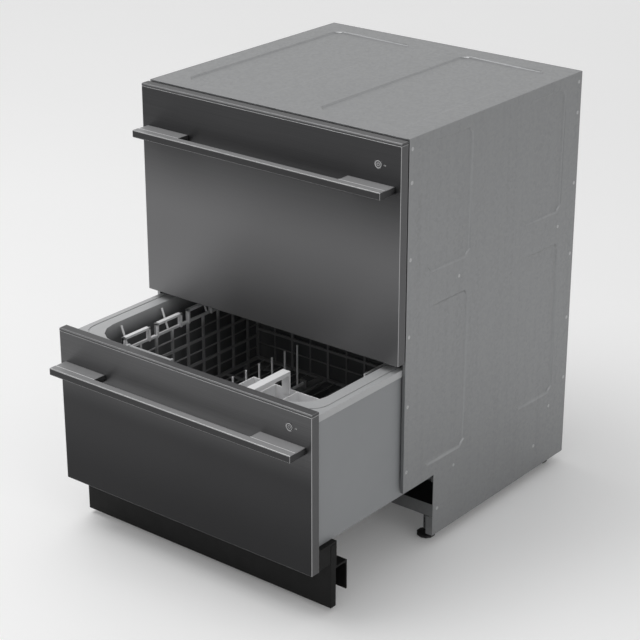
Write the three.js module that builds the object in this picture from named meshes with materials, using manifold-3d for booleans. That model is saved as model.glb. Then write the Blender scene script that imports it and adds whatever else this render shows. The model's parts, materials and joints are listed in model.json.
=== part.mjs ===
// Double-drawer dishwasher with its lower drawer standing half open.
// Millimetres, +Z up, +X to the right of someone facing it, front towards -Y.
// Pieces are drawn with Y = 0 on the closed front faces and Z = 0 on the floor,
// and the whole machine is then moved along Y so that its box is centred on the origin.

import * as THREE from 'three';
import { mergeVertices } from 'three/addons/utils/BufferGeometryUtils.js';
import Module from 'manifold-3d';

const wasm = await Module();
wasm.setup();

// ---------- driving dimensions ----------

// gaps
const seatGap = 0.3;            // between pieces that touch
const runGap = 0.5;             // between pieces that slide or turn in each other
const pinGap = 0.4;             // round the flap's pins

// front panels
const panelWidth = 596;
const panelThick = 20;
const lowerPanelBottom = 98;
const lowerPanelHeight = 308;
const panelSpacing = 3;         // between the two panels
const upperPanelHeight = 408;
const capHeight = 5;
const capChamfer = 1.5;
const skinSheet = 1.2;

// handles
const handleInset = 13;
const handleHeight = 14;
const handleProjection = 42;
const handleBarDepth = 15;
const handlePostLength = 100;
const handlePostRelief = 0.5;   // the posts are this much shallower than the bar, above and below
const handleChamfer = 1;
const lowerHandleDrop = 70;     // panel top to handle centre
const upperHandleDrop = 85;

// start buttons
const buttonDiameter = 14;
const buttonInset = 48;         // from the panel's right edge
const lowerButtonDrop = 35;
const upperButtonDrop = 45;
const buttonProud = 0.6;
const buttonLength = 9.6;
const buttonCollar = 3;
const buttonCollarThick = 2;
const buttonTravel = 1;

// how far things stand apart
const lowerOpening = 240;       // how far the lower drawer stands open

// chassis
const chassisInset = 0.5;       // its sides, behind the panels' edges
const chassisSheet = 1;
const chassisFront = 23;
const chassisDepth = 549;
const chassisAbovePanels = 2;
const chassisBottom = 22;
const chassisFlange = 6.2;
const rearFlange = 14;
const toeHeight = 150;
const toeDepth = 118;
const baseHeight = 60;
const baseSheet = 1.5;
const baseUpstand = 26;
const roofLip = 11;
const swageCount = 3;
const swageWidth = 40;
const swageDepth = 3;
const swageRise = 140;          // from the chassis's lower edge
const swageDrop = 40;           // from its top
const pressDepth = 2.5;         // fields pressed into the sides and the roof
const pressSlope = 4;
const pressCorner = 14;
const pressWidth = 130;         // on the sides, front to back
const pressFrontInset = 62;     // from the chassis's front and rear edges
const pressRearInset = 52;
const pressClear = 20;          // from runners and from the chassis's top
const roofPressInset = 45;
const roofPressSpacing = 120;   // between the roof's two fields
const hatchWidth = 150;
const hatchHeight = 90;
const hatchRise = 20;
const hatchOffset = 150;        // to the right of the middle
const crossRailSetback = 5;     // behind the chassis's front
const crossRailDepth = 30;
const crossRailHeight = 28;
const crossRailAboveLid = 11;
const crossRailSheet = 1.5;

// levelling feet
const footDiameter = 36;
const footPad = 8;
const footChamfer = 2;
const footNeck = 3;
const footStem = 10;
const footInsetX = 34;
const footInsetY = 30;

// tub
const tubSideClear = 6.5;       // inside the chassis, on each side
const tubDepth = 507.7;
const rimBelowPanel = 13;       // the lower panel's top to the rim
const rimThick = 3;
const rimSide = 36;
const rimFront = 17;
const rimBack = 24;
const rimCorner = 4;
const mouthCorner = 60;
const lipDepth = 13;
const lipThick = 2;
const tubWall = 3;
const tubFloor = 168;
const bowlSteps = [[0, 26], [4, 15], [24, 6]];   // how far the bowl draws in at each height over its floor
const grooveInset = 11;
const grooveWidth = 3;
const grooveDepth = 1.5;
const grooveCorner = 40;
const sumpDiameter = 230;
const sumpDepth = 12;
const wellDiameter = 90;
const wellDepth = 10;

// steel shell round the tub
const shellSheet = 1.2;
const shellDrop = 28;           // its lower edge, below the tub's floor
const shellFlangeRise = 21;     // the flange that rests on the runners, above the shell's lower edge
const shellFlange = 34;
const shellFrontFlange = 16;
const hoseSlotWidth = 120;
const hoseSlotHeight = 40;

// telescopic runners, tucked up behind the shell's long sides
const runnerShellGap = 2.5;
const runnerHalf = 13;
const runnerHeight = 22;
const runnerDrop = 5.7;         // lipped channels below the rails' top flange
const runnerSheet = 1.5;
const runnerLip = 3;
const railFlange = 2.5;
const railWeb = 3;
const outerRunnerStart = 4;     // behind the toe recess
const outerRunnerEnd = 12;      // ahead of the chassis's rear edge
const middleRunnerStart = 50;   // ahead of the outer channel's front, with the drawer shut
const middleRunnerEnd = 13;     // ahead of the outer channel's rear
const railStart = 2;            // behind the middle channel's front
const railEnd = 6;              // ahead of the tub's rear
const runnerPadLength = 40;
const runnerPadHeight = 10;
const runnerPadDrop = 6;        // pads reach this far below the channel, to pass under the shell
const runnerPadInset = 8;

// washing parts
const filterThick = 9;
const filterSlots = 6;
const filterSlotWidth = 5;
const filterSlotLength = 36;
const filterSlotInset = 30;     // from the plate's edge to a slot's middle
const spindleDiameter = 18;
const spindleHeight = 22;
const armLength = 416;
const armWidth = 46;
const armTipWidth = 26;
const armThick = 9;
const armAboveFloor = 10;
const armHub = 44;
const armHubRise = 4;
const jetDiameter = 5;
const jetsPerSide = 3;
const motorDiameter = 120;
const motorHeight = 38;
const motorBossDiameter = 72;
const motorBossDepth = 4;
const pumpDiameter = 35;
const pumpDrop = 24;            // motor top to pump axis
const pumpReach = 120;

// dish rack
const rackSideClear = 24;       // inside the tub's mouth
const rackFrontClear = 24.7;
const rackRearClear = 24;
const rackLift = 32;            // above the tub's floor
const rackBar = 5;
const rackWall = 4;
const rackBelowRim = 43;        // to the notches between the merlons
const rackEndDrop = 20;         // notches to the tops of the end walls
const merlonHeight = 24;
const merlonPitch = 88;
const merlonLength = 70;
const merlonStart = 30;         // from the rack's front face
const merlonShortest = 20;
const leftRows = 3;
const rightColumns = 6;
const rightRows = 2;
const endColumns = 5;
const endRows = 2;
const floorColumns = 5;
const floorRows = 4;
const rackLegSide = 9;
const rackLegInset = 3;         // from the rack's side
const rackLegY = 40;            // from the rack's front and rear faces
const prongCount = 4;
const prongStart = 45;
const prongPitch = 110;
const prongDiameter = 4;
const prongLean = 14;
const prongAboveMerlon = 15;

// folding plate tines
const tineOffset = 60;          // to the left of the middle
const tineAxleAbove = 8;        // axle centre above the rack floor's top
const tineAxle = 6;
const tineDiameter = 4;
const tineHeight = 88;
const tineCount = 9;
const tinePitch = 38;
const tineStart = 33;           // from the rack's front face
const tinePostThick = 4;
const tinePostWidth = 14;

// folding cup shelf on the rack's right wall
const cupAxleInset = 15;        // from the rack's side
const cupAxleRise = 76;         // above the rack's underside
const cupAxle = 6;
const cupLength = 206;
const cupRearInset = 24;        // from the rack's rear face
const cupDepth = 92;
const cupThick = 4;
const cupBar = 5;
const cupColumns = 5;
const cupRows = 2;
const cupLug = 14;
const cupLugThick = 5;

// cutlery basket
const basketInset = 40;         // from the rack's right side
const basketWidth = 156;
const basketFrontInset = 6;     // from the rack's front face
const basketDepth = 92;
const basketAboveRack = 15;     // over the rack's end walls
const basketWall = 2;
const basketColumns = 3;
const basketRowCount = 2;
const basketSlots = 4;
const basketSlotWidth = 10;
const basketSlotRise = 30;      // above the basket's underside
const basketSlotDrop = 26.7;    // below its top
const basketHandleWidth = 17;
const basketHandleThick = 8;
const basketHandleRise = 35;
const basketHandleReach = 10;   // ahead of the basket
const basketStrut = 4;
const basketStrutRoot = 10;

// detergent dispenser in the tub's front wall
const dispenserOffset = 120;    // to the left of the middle
const dispenserWidth = 100;
const dispenserHeight = 45;
const dispenserBelowRim = 10;
const dispenserDepth = 14;
const dispenserPocket = 10;
const dispenserWall = 5;
const mainCupWidth = 62;
const flapThick = 2.6;
const flapLift = 2;             // its lower edge above the housing's
const flapBarrel = 5;
const flapPin = 2.4;
const flapEar = 5;
const flapEarReach = 6;
const flapPinShort = 2;         // the pins end this far inside the ears

// lids that close down on the rims
const lidSideInset = 6.5;       // inside the rim, on each side
const lidFrontClear = 3;        // behind the chassis's front
const lidRearLap = 6;           // beyond the rim's rear
const lidThick = 20;
const lidSkin = 3;
const lidRib = 2.5;
const lidCorner = 24;
const lidEdgeHeight = 4;
const lidEdgeInset = 6;
const lidHollowInset = 18;
const lidAboveRim = 16;
const lidTravel = 15.4;
const lugWidth = 20;
const lugHeight = 8;
const lugReach = 5.6;
const lugRise = 6;
const lidGuideWidth = 60;
const lidGuideHeight = 38;
const lidGuideAboveRim = 4;
const roofClear = 3;            // over the upper lid's guides

// kickstrip, carried by the lower drawer
const kickSetback = 53;
const kickThick = 13.5;
const kickBottom = 10;
const carrierLap = 2;           // the block starts this far above the panel's lower edge
const carrierTop = 5;
const carrierWeb = 2.7;
const apronRear = 99;
const apronThick = 3;
const apronTop = 89;
const apronBottom = 30;
const apronShelf = 4;
const apronFillet = 6;

// ---------- places worked out from them ----------

const panelHalf = panelWidth / 2;
const lowerPanelTop = lowerPanelBottom + lowerPanelHeight;
const upperPanelBottom = lowerPanelTop + panelSpacing;
const upperPanelTop = upperPanelBottom + upperPanelHeight;

const chassisHalf = panelHalf - chassisInset;
const sideInner = chassisHalf - chassisSheet;
const chassisRear = chassisFront + chassisDepth;
const chassisTop = upperPanelTop + chassisAbovePanels;

const rimTop = lowerPanelTop - rimBelowPanel;
const tubFront = panelThick + seatGap;
const rimHalf = sideInner - tubSideClear;
const rimRear = tubFront + tubDepth;
const mouthHalf = rimHalf - rimSide;
const mouthFront = tubFront + rimFront;
const mouthRear = rimRear - rimBack;
const tubMiddleY = (mouthFront + mouthRear) / 2;
const rimUnderside = rimTop - rimThick;
const shellBottom = tubFloor - shellDrop;
const shellHalf = rimHalf - lipThick - seatGap;
const shellRear = rimRear - lipThick - seatGap;
const shellTop = rimUnderside - seatGap;

const railTop = shellBottom + shellFlangeRise - seatGap;
const runnerCentre = shellHalf - shellSheet - runnerShellGap - runnerHalf;
const runnerTop = railTop - runnerDrop;
const runnerBottom = runnerTop - runnerHeight;
const outerRunnerFront = toeDepth + outerRunnerStart;
const outerRunnerRear = chassisRear - outerRunnerEnd;
const middleRunnerFront = outerRunnerFront - middleRunnerStart;
const middleRunnerRear = outerRunnerRear - middleRunnerEnd;
const railFront = middleRunnerFront + railStart;
const railRear = rimRear - railEnd;

const rackHalf = mouthHalf - rackSideClear;
const rackFront = mouthFront + rackFrontClear;
const rackRear = mouthRear - rackRearClear;
const rackBottom = tubFloor + rackLift;
const rackFloorTop = rackBottom + rackWall;
const rackLowTop = rimTop - rackBelowRim;
const rackEndTop = rackLowTop - rackEndDrop;
const rackHighTop = rackLowTop + merlonHeight;
const prongTip = rackHighTop + prongAboveMerlon;

const tineX = -tineOffset;
const tineAxleZ = rackFloorTop + tineAxleAbove;
const tineFront = rackFront + tineStart;
const tineRear = tineFront + (tineCount - 1) * tinePitch;
const cupAxleX = rackHalf - cupAxleInset;
const cupAxleZ = rackBottom + cupAxleRise;
const cupRear = rackRear - cupRearInset;
const cupFront = cupRear - cupLength;

const basketRight = rackHalf - basketInset;
const basketLeft = basketRight - basketWidth;
const basketFront = rackFront + basketFrontInset;
const basketRear = basketFront + basketDepth;
const basketTop = rackEndTop + basketAboveRack;
const basketHandleTop = basketTop + basketHandleRise;

const dispenserLeft = -dispenserOffset - dispenserWidth / 2;
const dispenserRight = dispenserLeft + dispenserWidth;
const dispenserTop = rimTop - dispenserBelowRim;
const dispenserBottom = dispenserTop - dispenserHeight;

const sumpFloor = tubFloor - sumpDepth;
const wellFloor = sumpFloor - wellDepth;
const motorTop = wellFloor - tubWall - seatGap;

const lidHalf = rimHalf - lidSideInset;
const lidFront = chassisFront + lidFrontClear;
const lidRear = rimRear + lidRearLap;
const lidMiddleY = (lidFront + lidRear) / 2;
const lidBottom = rimTop + lidAboveRim;
const lidTop = lidBottom + lidThick;
const lidGuideTop = rimTop + lidGuideAboveRim + lidGuideHeight;

// the upper tub stands this far above the lower one, under the roof
const drawerPitch = chassisTop - chassisSheet - roofClear - lidGuideTop;

// ---------- shaping helpers ----------

// places are rounded to this, so that faces drawn to the same size meet exactly
const snap = 1e-4;

const alongX = new THREE.Matrix4().makeBasis(
  new THREE.Vector3(0, 1, 0), new THREE.Vector3(0, 0, 1), new THREE.Vector3(1, 0, 0));
const alongY = new THREE.Matrix4().makeBasis(
  new THREE.Vector3(0, 0, 1), new THREE.Vector3(1, 0, 0), new THREE.Vector3(0, 1, 0));

function toSolid(geometry) {
  const bare = geometry.index ? geometry.toNonIndexed() : geometry.clone();
  bare.deleteAttribute('normal');
  bare.deleteAttribute('uv');
  const places = bare.attributes.position.array;
  places.forEach((value, i) => { places[i] = Math.round(value / snap) * snap; });
  const merged = mergeVertices(bare, 1e-4);
  return new wasm.Manifold(new wasm.Mesh({
    numProp: 3,
    vertProperties: new Float32Array(merged.attributes.position.array),
    triVerts: new Uint32Array(merged.index.array),
  }));
}

function toGeometry(solid) {
  const mesh = solid.getMesh();
  const geometry = new THREE.BufferGeometry();
  geometry.setAttribute('position', new THREE.BufferAttribute(mesh.vertProperties, 3));
  geometry.setIndex(new THREE.BufferAttribute(mesh.triVerts, 1));
  const faceted = geometry.toNonIndexed();
  faceted.computeVertexNormals();
  return faceted;
}

function join(pieces) {
  return pieces.reduce((whole, piece) => whole.add(piece));
}

function cut(solid, tools) {
  return tools.reduce((rest, tool) => rest.subtract(tool), solid);
}

// a box between two opposite corners, given as [low, high] along each axis in either order
function box(xs, ys, zs) {
  const geometry = new THREE.BoxGeometry(
    Math.abs(xs[1] - xs[0]), Math.abs(ys[1] - ys[0]), Math.abs(zs[1] - zs[0]));
  geometry.translate((xs[0] + xs[1]) / 2, (ys[0] + ys[1]) / 2, (zs[0] + zs[1]) / 2);
  return toSolid(geometry);
}

function extrude(shape, length, curveSegments = 4) {
  return new THREE.ExtrudeGeometry(shape, { depth: length, bevelEnabled: false, steps: 1, curveSegments });
}

function outline(points) {
  return new THREE.Shape(points.map(([a, b]) => new THREE.Vector2(a, b)));
}

// an outline of (y, z) points drawn out along X
function profileX(points, xs) {
  const low = Math.min(...xs);
  const geometry = extrude(outline(points), Math.abs(xs[1] - xs[0]));
  return toSolid(geometry.applyMatrix4(alongX).translate(low, 0, 0));
}

// an outline of (x, z) points drawn out along Y
function profileY(points, ys) {
  const geometry = extrude(outline(points.map(([x, z]) => [z, x])), ys[1] - ys[0]);
  return toSolid(geometry.applyMatrix4(alongY).translate(0, ys[0], 0));
}

function cylinderZ(diameter, x, y, zs, sides = 16) {
  const geometry = new THREE.CylinderGeometry(diameter / 2, diameter / 2, zs[1] - zs[0], sides);
  geometry.rotateX(Math.PI / 2).translate(x, y, (zs[0] + zs[1]) / 2);
  return toSolid(geometry);
}

function cylinderY(diameter, x, z, ys, sides = 16) {
  const geometry = new THREE.CylinderGeometry(diameter / 2, diameter / 2, ys[1] - ys[0], sides);
  geometry.translate(x, (ys[0] + ys[1]) / 2, z);
  return toSolid(geometry);
}

function cylinderX(diameter, y, z, xs, sides = 12) {
  const geometry = new THREE.CylinderGeometry(diameter / 2, diameter / 2, Math.abs(xs[1] - xs[0]), sides);
  geometry.rotateZ(Math.PI / 2).translate((xs[0] + xs[1]) / 2, y, z);
  return toSolid(geometry);
}

// a round rod between two points
function rod(diameter, from, to, sides = 6) {
  const start = new THREE.Vector3(...from);
  const run = new THREE.Vector3(...to).sub(start);
  const geometry = new THREE.CylinderGeometry(diameter / 2, diameter / 2, run.length(), sides);
  const turn = new THREE.Quaternion().setFromUnitVectors(
    new THREE.Vector3(0, 1, 0), run.clone().normalize());
  geometry.applyQuaternion(turn).translate(...start.addScaledVector(run, 0.5).toArray());
  return toSolid(geometry);
}

// the outline of a rounded rectangle, anticlockwise seen from above
function roundedRing({ x, y, r }, steps) {
  const corners = [
    [x[1] - r, y[0] + r, -90], [x[1] - r, y[1] - r, 0],
    [x[0] + r, y[1] - r, 90], [x[0] + r, y[0] + r, 180],
  ];
  return corners.flatMap(([cx, cy, from]) => Array.from({ length: steps + 1 }, (_, i) => {
    const angle = THREE.MathUtils.degToRad(from + (90 * i) / steps);
    return [cx + r * Math.cos(angle), cy + r * Math.sin(angle)];
  }));
}

// a solid whose rounded-rectangle section changes from level to level, lowest first
function loft(levels, steps = 5) {
  const rings = levels.map((level) => roundedRing(level, steps).map(([x, y]) => [x, y, level.z]));
  const count = rings[0].length;
  const index = [];
  for (let level = 0; level + 1 < rings.length; level += 1) {
    for (let i = 0; i < count; i += 1) {
      const a = level * count + i;
      const b = level * count + ((i + 1) % count);
      index.push(a, b, b + count, a, b + count, a + count);
    }
  }
  const top = (rings.length - 1) * count;
  for (let i = 1; i + 1 < count; i += 1) {
    index.push(0, i + 1, i);
    index.push(top, top + i, top + i + 1);
  }
  const geometry = new THREE.BufferGeometry();
  geometry.setAttribute('position', new THREE.Float32BufferAttribute(rings.flat(2), 3));
  geometry.setIndex(index);
  return toSolid(geometry);
}

// a rounded rectangle grown (or, with a minus, shrunk) all round
function grown({ x, y, r }, by) {
  return { x: [x[0] - by, x[1] + by], y: [y[0] - by, y[1] + by], r: Math.max(r + by, 0.5) };
}

// evenly spaced windows between two limits, with a bar at both ends
function windows(from, to, count, bar) {
  const size = (to - from - bar * (count + 1)) / count;
  return Array.from({ length: count }, (_, i) => {
    const start = from + bar + i * (size + bar);
    return [start, start + size];
  });
}

// ---------- materials ----------

function finish(color, roughness, metalness) {
  return new THREE.MeshStandardMaterial({ color, roughness, metalness });
}

const darkSteel = finish(0x4a4b4d, 0.38, 1);
const handleSteel = finish(0x6b6c6e, 0.34, 1);
const blackPlastic = finish(0x1c1c1d, 0.55, 0);
const greyPlastic = finish(0x9b9d9f, 0.5, 0);
const shellPaint = finish(0x7f8183, 0.45, 0.3);
const zincSteel = finish(0x8d9092, 0.42, 1);
const runnerSteel = finish(0x3a3b3d, 0.4, 1);
const rackPlastic = finish(0xb9bbbc, 0.5, 0);
const blackRubber = finish(0x151515, 0.8, 0);
const chromeCap = finish(0xc8c9ca, 0.2, 1);

function piece(parent, name, solid, material) {
  const mesh = new THREE.Mesh(toGeometry(solid), material);
  mesh.name = name;
  parent.add(mesh);
}

// ---------- front of a drawer ----------

function frontSkin(front) {
  const top = front.top - capHeight - seatGap;
  const sheet = box([-panelHalf, panelHalf], [0, panelThick], [front.bottom, top]);
  const inside = box(
    [-panelHalf + skinSheet, panelHalf - skinSheet], [skinSheet, panelThick + 1],
    [front.bottom + skinSheet, top - skinSheet]);
  const bore = cylinderY(buttonDiameter + 2 * runGap, front.buttonX, front.buttonZ, [-1, skinSheet + 1]);
  return cut(sheet, [inside, bore]);
}

function frontLiner(front) {
  const inset = skinSheet + seatGap;
  const top = front.top - capHeight - seatGap;
  const block = box(
    [-panelHalf + inset, panelHalf - inset], [inset, panelThick], [front.bottom + inset, top - inset]);
  const collarRoom = buttonDiameter + 2 * buttonCollar + 2 * runGap;
  const buttonEnd = buttonLength - buttonProud + buttonTravel + runGap;
  const pocket = cylinderY(collarRoom, front.buttonX, front.buttonZ, [inset - 1, buttonEnd]);
  return block.subtract(pocket);
}

function topCap(front) {
  const low = front.top - capHeight;
  return profileX([
    [0, low], [panelThick, low], [panelThick, front.top - capChamfer],
    [panelThick - capChamfer, front.top], [capChamfer, front.top], [0, front.top - capChamfer],
  ], [-panelHalf, panelHalf]);
}

function startButton(front) {
  const rear = buttonLength - buttonProud;
  const cap = cylinderY(buttonDiameter, front.buttonX, front.buttonZ, [-buttonProud, rear]);
  const collarEnds = [rear - buttonCollarThick, rear];
  return cap.add(cylinderY(buttonDiameter + 2 * buttonCollar, front.buttonX, front.buttonZ, collarEnds));
}

function handle(front) {
  const reach = panelHalf - handleInset;
  const high = front.handleZ + handleHeight / 2;
  const low = front.handleZ - handleHeight / 2;
  const nose = -handleProjection;
  const heel = nose + handleBarDepth;
  const bar = profileX([
    [nose + handleChamfer, low], [heel, low], [heel, high],
    [nose + handleChamfer, high], [nose, high - handleChamfer], [nose, low + handleChamfer],
  ], [-reach, reach]);
  const posts = [-1, 1].map((side) => box(
    [side * (reach - handlePostLength), side * reach], [heel - 1, -seatGap],
    [low + handlePostRelief, high - handlePostRelief]));
  return join([bar, ...posts]);
}

// ---------- tub and what is fixed to it ----------

const mouth = { x: [-mouthHalf, mouthHalf], y: [mouthFront, mouthRear], r: mouthCorner };
const rimPlan = { x: [-rimHalf, rimHalf], y: [tubFront, rimRear], r: rimCorner };

// the inside of the tub, grown by a wall thickness for its outside
function tubBowl(wall) {
  const drawnIn = bowlSteps.map(([rise, inset]) => (
    { z: tubFloor + rise - wall, ...grown(mouth, wall - inset) }));
  return loft([
    ...drawnIn,
    { z: rimUnderside, ...grown(mouth, wall) },
    { z: rimTop + (wall ? 0 : 1), ...grown(mouth, wall) },
  ], 4);
}

function rimSlab() {
  const slab = loft([{ z: rimTop - lipDepth, ...rimPlan }, { z: rimTop, ...rimPlan }], 2);
  const under = box(
    [-rimHalf + lipThick, rimHalf - lipThick], [tubFront - 1, rimRear - lipThick],
    [rimTop - lipDepth - 1, rimUnderside]);
  const grooveOuter = { ...grown(rimPlan, -grooveInset), r: grooveCorner };
  const grooveInner = grown(grooveOuter, -grooveWidth);
  const bottom = rimTop - grooveDepth;
  const groove = loft([{ z: bottom, ...grooveOuter }, { z: rimTop + 1, ...grooveOuter }])
    .subtract(loft([{ z: bottom - 1, ...grooveInner }, { z: rimTop + 2, ...grooveInner }]));
  return cut(slab, [under, groove]);
}

// the flap's hinge line, over the middle of its plate
const flap = {
  y: mouthFront + dispenserDepth + seatGap + flapThick / 2,
  z: dispenserTop + flapBarrel / 2 + seatGap,
};

function dispenserEars() {
  const pinHole = flapPin + 2 * pinGap;
  return [dispenserLeft, dispenserRight].map((end, i) => {
    const outward = i ? 1 : -1;
    const ear = box(
      [end + outward * runGap, end + outward * (runGap + flapEar)],
      [mouthFront - 1, flap.y + flapEarReach / 2], [flap.z - flapEarReach, flap.z + flapEarReach / 2]);
    return ear.subtract(cylinderX(pinHole, flap.y, flap.z,
      [end + outward * (runGap - 1), end + outward * (runGap + flapEar - 1)]));
  });
}

function dispenserHousing() {
  const face = mouthFront + dispenserDepth;
  const block = box([dispenserLeft, dispenserRight], [mouthFront - 1, face], [dispenserBottom, dispenserTop]);
  const inside = [dispenserBottom + dispenserWall, dispenserTop - dispenserWall];
  const first = dispenserLeft + dispenserWall;
  const mainCup = box([first, first + mainCupWidth], [face - dispenserPocket, face + 1], inside);
  const second = first + mainCupWidth + dispenserWall;
  const smallCup = box([second, dispenserRight - dispenserWall], [face - dispenserPocket, face + 1], inside);
  return join([cut(block, [mainCup, smallCup]), ...dispenserEars()]);
}

function dispenserFlap() {
  const plate = box(
    [dispenserLeft, dispenserRight], [flap.y - flapThick / 2, flap.y + flapThick / 2],
    [dispenserBottom + flapLift, flap.z]);
  const barrel = cylinderX(flapBarrel, flap.y, flap.z, [dispenserLeft, dispenserRight], 10);
  const pinReach = runGap + flapEar - flapPinShort;
  const pins = cylinderX(flapPin, flap.y, flap.z, [dispenserLeft - pinReach, dispenserRight + pinReach], 8);
  return join([plate, barrel, pins]);
}

function tub() {
  const sump = cylinderZ(sumpDiameter, 0, tubMiddleY, [sumpFloor, tubFloor + 1]);
  const well = cylinderZ(wellDiameter, 0, tubMiddleY, [wellFloor, tubFloor + 1]);
  const sumpOutside = cylinderZ(sumpDiameter + 2 * tubWall, 0, tubMiddleY, [sumpFloor - tubWall, tubFloor]);
  const wellOutside = cylinderZ(wellDiameter + 2 * tubWall, 0, tubMiddleY, [wellFloor - tubWall, tubFloor]);
  const outside = join([rimSlab(), tubBowl(tubWall), sumpOutside, wellOutside]);
  const hollow = cut(outside, [tubBowl(0), sump, well]);
  return hollow.add(dispenserHousing());
}

// sides and rear folded from one sheet, with front folds and a flange that rests on each runner
function steelShell() {
  const flangeHeight = shellBottom + shellFlangeRise;
  const inner = shellHalf - shellSheet;
  const foldEnd = shellHalf - shellFrontFlange;
  const right = [
    [foldEnd, tubFront], [shellHalf, tubFront], [shellHalf, shellRear],
  ];
  const rightInside = [
    [inner, shellRear - shellSheet], [inner, tubFront + shellSheet], [foldEnd, tubFront + shellSheet],
  ];
  const mirrored = (points) => points.map(([x, y]) => [-x, y]).reverse();
  const plan = outline([...right, ...mirrored(right), ...mirrored(rightInside), ...rightInside]);
  const wrap = toSolid(extrude(plan, shellTop - shellBottom).translate(0, 0, shellBottom));
  const flanges = [-1, 1].map((side) => box(
    [side * (shellHalf - shellSheet / 2), side * (shellHalf - shellFlange)],
    [tubFront + shellSheet / 2, shellRear - shellSheet / 2], [flangeHeight, flangeHeight + shellSheet]));
  const runnerPassage = box([-inner, inner], [shellRear - 2 * shellSheet, shellRear + 1],
    [shellBottom - 1, flangeHeight - seatGap]);
  const hoseSlot = box([-hoseSlotWidth / 2, hoseSlotWidth / 2], [shellRear - 2 * shellSheet, shellRear + 1],
    [shellBottom, flangeHeight + hoseSlotHeight]);
  return join([cut(wrap, [runnerPassage, hoseSlot]), ...flanges]);
}

function filterPlate() {
  const low = sumpFloor + seatGap;
  const disc = cylinderZ(sumpDiameter - 2 * runGap, 0, tubMiddleY, [low, low + filterThick]);
  const plug = cylinderZ(wellDiameter - 2 * runGap, 0, tubMiddleY, [wellFloor + seatGap, low + 1]);
  const spindle = cylinderZ(spindleDiameter, 0, tubMiddleY, [low, low + filterThick + spindleHeight]);
  const ringRadius = sumpDiameter / 2 - filterSlotInset;
  const slots = Array.from({ length: filterSlots }, (_, i) => {
    const slot = new THREE.BoxGeometry(filterSlotLength, filterSlotWidth, 3 * filterThick);
    slot.translate(ringRadius, 0, 0).rotateZ((2 * Math.PI * i) / filterSlots);
    return toSolid(slot.translate(0, tubMiddleY, low));
  });
  return join([cut(disc, slots), plug, spindle]);
}

// a two-bladed arm, widest at the hub, with slanting leading edges
function sprayArm() {
  const low = tubFloor + armAboveFloor;
  const high = low + armThick + armHubRise;
  const reach = armLength / 2;
  const shoulder = reach - armTipWidth / 2;
  const blade = outline([
    [-shoulder, -armTipWidth / 2], [0, -armWidth / 2], [shoulder, -armTipWidth / 2],
    [reach, -armTipWidth / 6], [reach, armTipWidth / 6], [shoulder, armTipWidth / 2],
    [0, armWidth / 2], [-shoulder, armTipWidth / 2], [-reach, armTipWidth / 6], [-reach, -armTipWidth / 6],
  ]);
  const arm = toSolid(extrude(blade, armThick).translate(0, tubMiddleY, low));
  const hub = cylinderZ(armHub, 0, tubMiddleY, [low, high], 12);
  const bore = cylinderZ(spindleDiameter + 2 * runGap, 0, tubMiddleY, [low - 1, high + 1], 12);
  const step = (reach - armHub) / jetsPerSide;
  const jets = [-1, 1].flatMap((side) => Array.from({ length: jetsPerSide }, (_, i) => cylinderZ(
    jetDiameter, side * (armHub + i * step), tubMiddleY, [low - 1, low + armThick + 1], 6)));
  return cut(arm.add(hub), [bore, ...jets]);
}

function washMotor() {
  const low = motorTop - motorHeight;
  const body = cylinderZ(motorDiameter, 0, tubMiddleY, [low, motorTop]);
  const waist = cylinderZ(motorBossDiameter, 0, tubMiddleY, [low - motorBossDepth, low + 1]);
  const pump = cylinderX(pumpDiameter, tubMiddleY, motorTop - pumpDrop, [0, pumpReach], 16);
  return join([body, waist, pump]);
}

// ---------- telescopic runners ----------

// a lipped channel, open upwards, centred on the runner's line
function lippedChannel(half, low, high, sheet, lip) {
  return [
    [-half, low], [half, low], [half, high], [half - sheet - lip, high], [half - sheet - lip, high - sheet],
    [half - sheet, high - sheet], [half - sheet, low + sheet], [-half + sheet, low + sheet],
    [-half + sheet, high - sheet], [-half + sheet + lip, high - sheet], [-half + sheet + lip, high],
    [-half, high],
  ];
}

function onSide(points, side) {
  return points.map(([x, z]) => [side * (runnerCentre + x), z]);
}

const middleHalf = runnerHalf - runnerSheet - runGap;
const middleBottom = runnerBottom + runnerSheet + runGap;
const middleTop = runnerTop - runnerSheet - runGap;

function outerRunner(side) {
  const channel = profileY(
    onSide(lippedChannel(runnerHalf, runnerBottom, runnerTop, runnerSheet, runnerLip), side),
    [outerRunnerFront, outerRunnerRear]);
  const padLow = runnerBottom - runnerPadDrop;
  const padStarts = [outerRunnerFront + runnerPadInset, outerRunnerRear - runnerPadInset - runnerPadLength];
  const pads = padStarts.map((y) => box(
    [side * (runnerCentre + runnerHalf - runnerSheet / 2), side * (sideInner - seatGap)],
    [y, y + runnerPadLength], [padLow, padLow + runnerPadHeight]));
  return join([channel, ...pads]);
}

function middleRunner(side) {
  return profileY(
    onSide(lippedChannel(middleHalf, middleBottom, middleTop, runnerSheet, runnerLip), side),
    [middleRunnerFront, middleRunnerRear]);
}

function runnerRail(side) {
  const half = middleHalf - runnerSheet - runGap;
  const web = railWeb / 2;
  const low = middleBottom + runnerSheet + runGap;
  const high = middleTop - runnerSheet - runGap;
  const right = [
    [half, low], [half, low + railFlange], [web, low + railFlange], [web, high - railFlange],
    [half, high - railFlange], [half, high], [web, high], [web, railTop - railFlange],
    [half, railTop - railFlange], [half, railTop],
  ];
  const left = right.map(([x, z]) => [-x, z]).reverse();
  return profileY(onSide([...right, ...left], side), [railFront, railRear]);
}

// ---------- dish rack ----------

const rackInner = rackHalf - rackWall;

// from where to where each merlon runs; one that the rack's rear would cut too short is left off
function merlonSpans() {
  const last = rackRear - rackBar;
  const spans = [];
  for (let start = rackFront + merlonStart; start + merlonShortest < last; start += merlonPitch) {
    spans.push([start, Math.min(start + merlonLength, last)]);
  }
  return spans;
}

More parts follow.
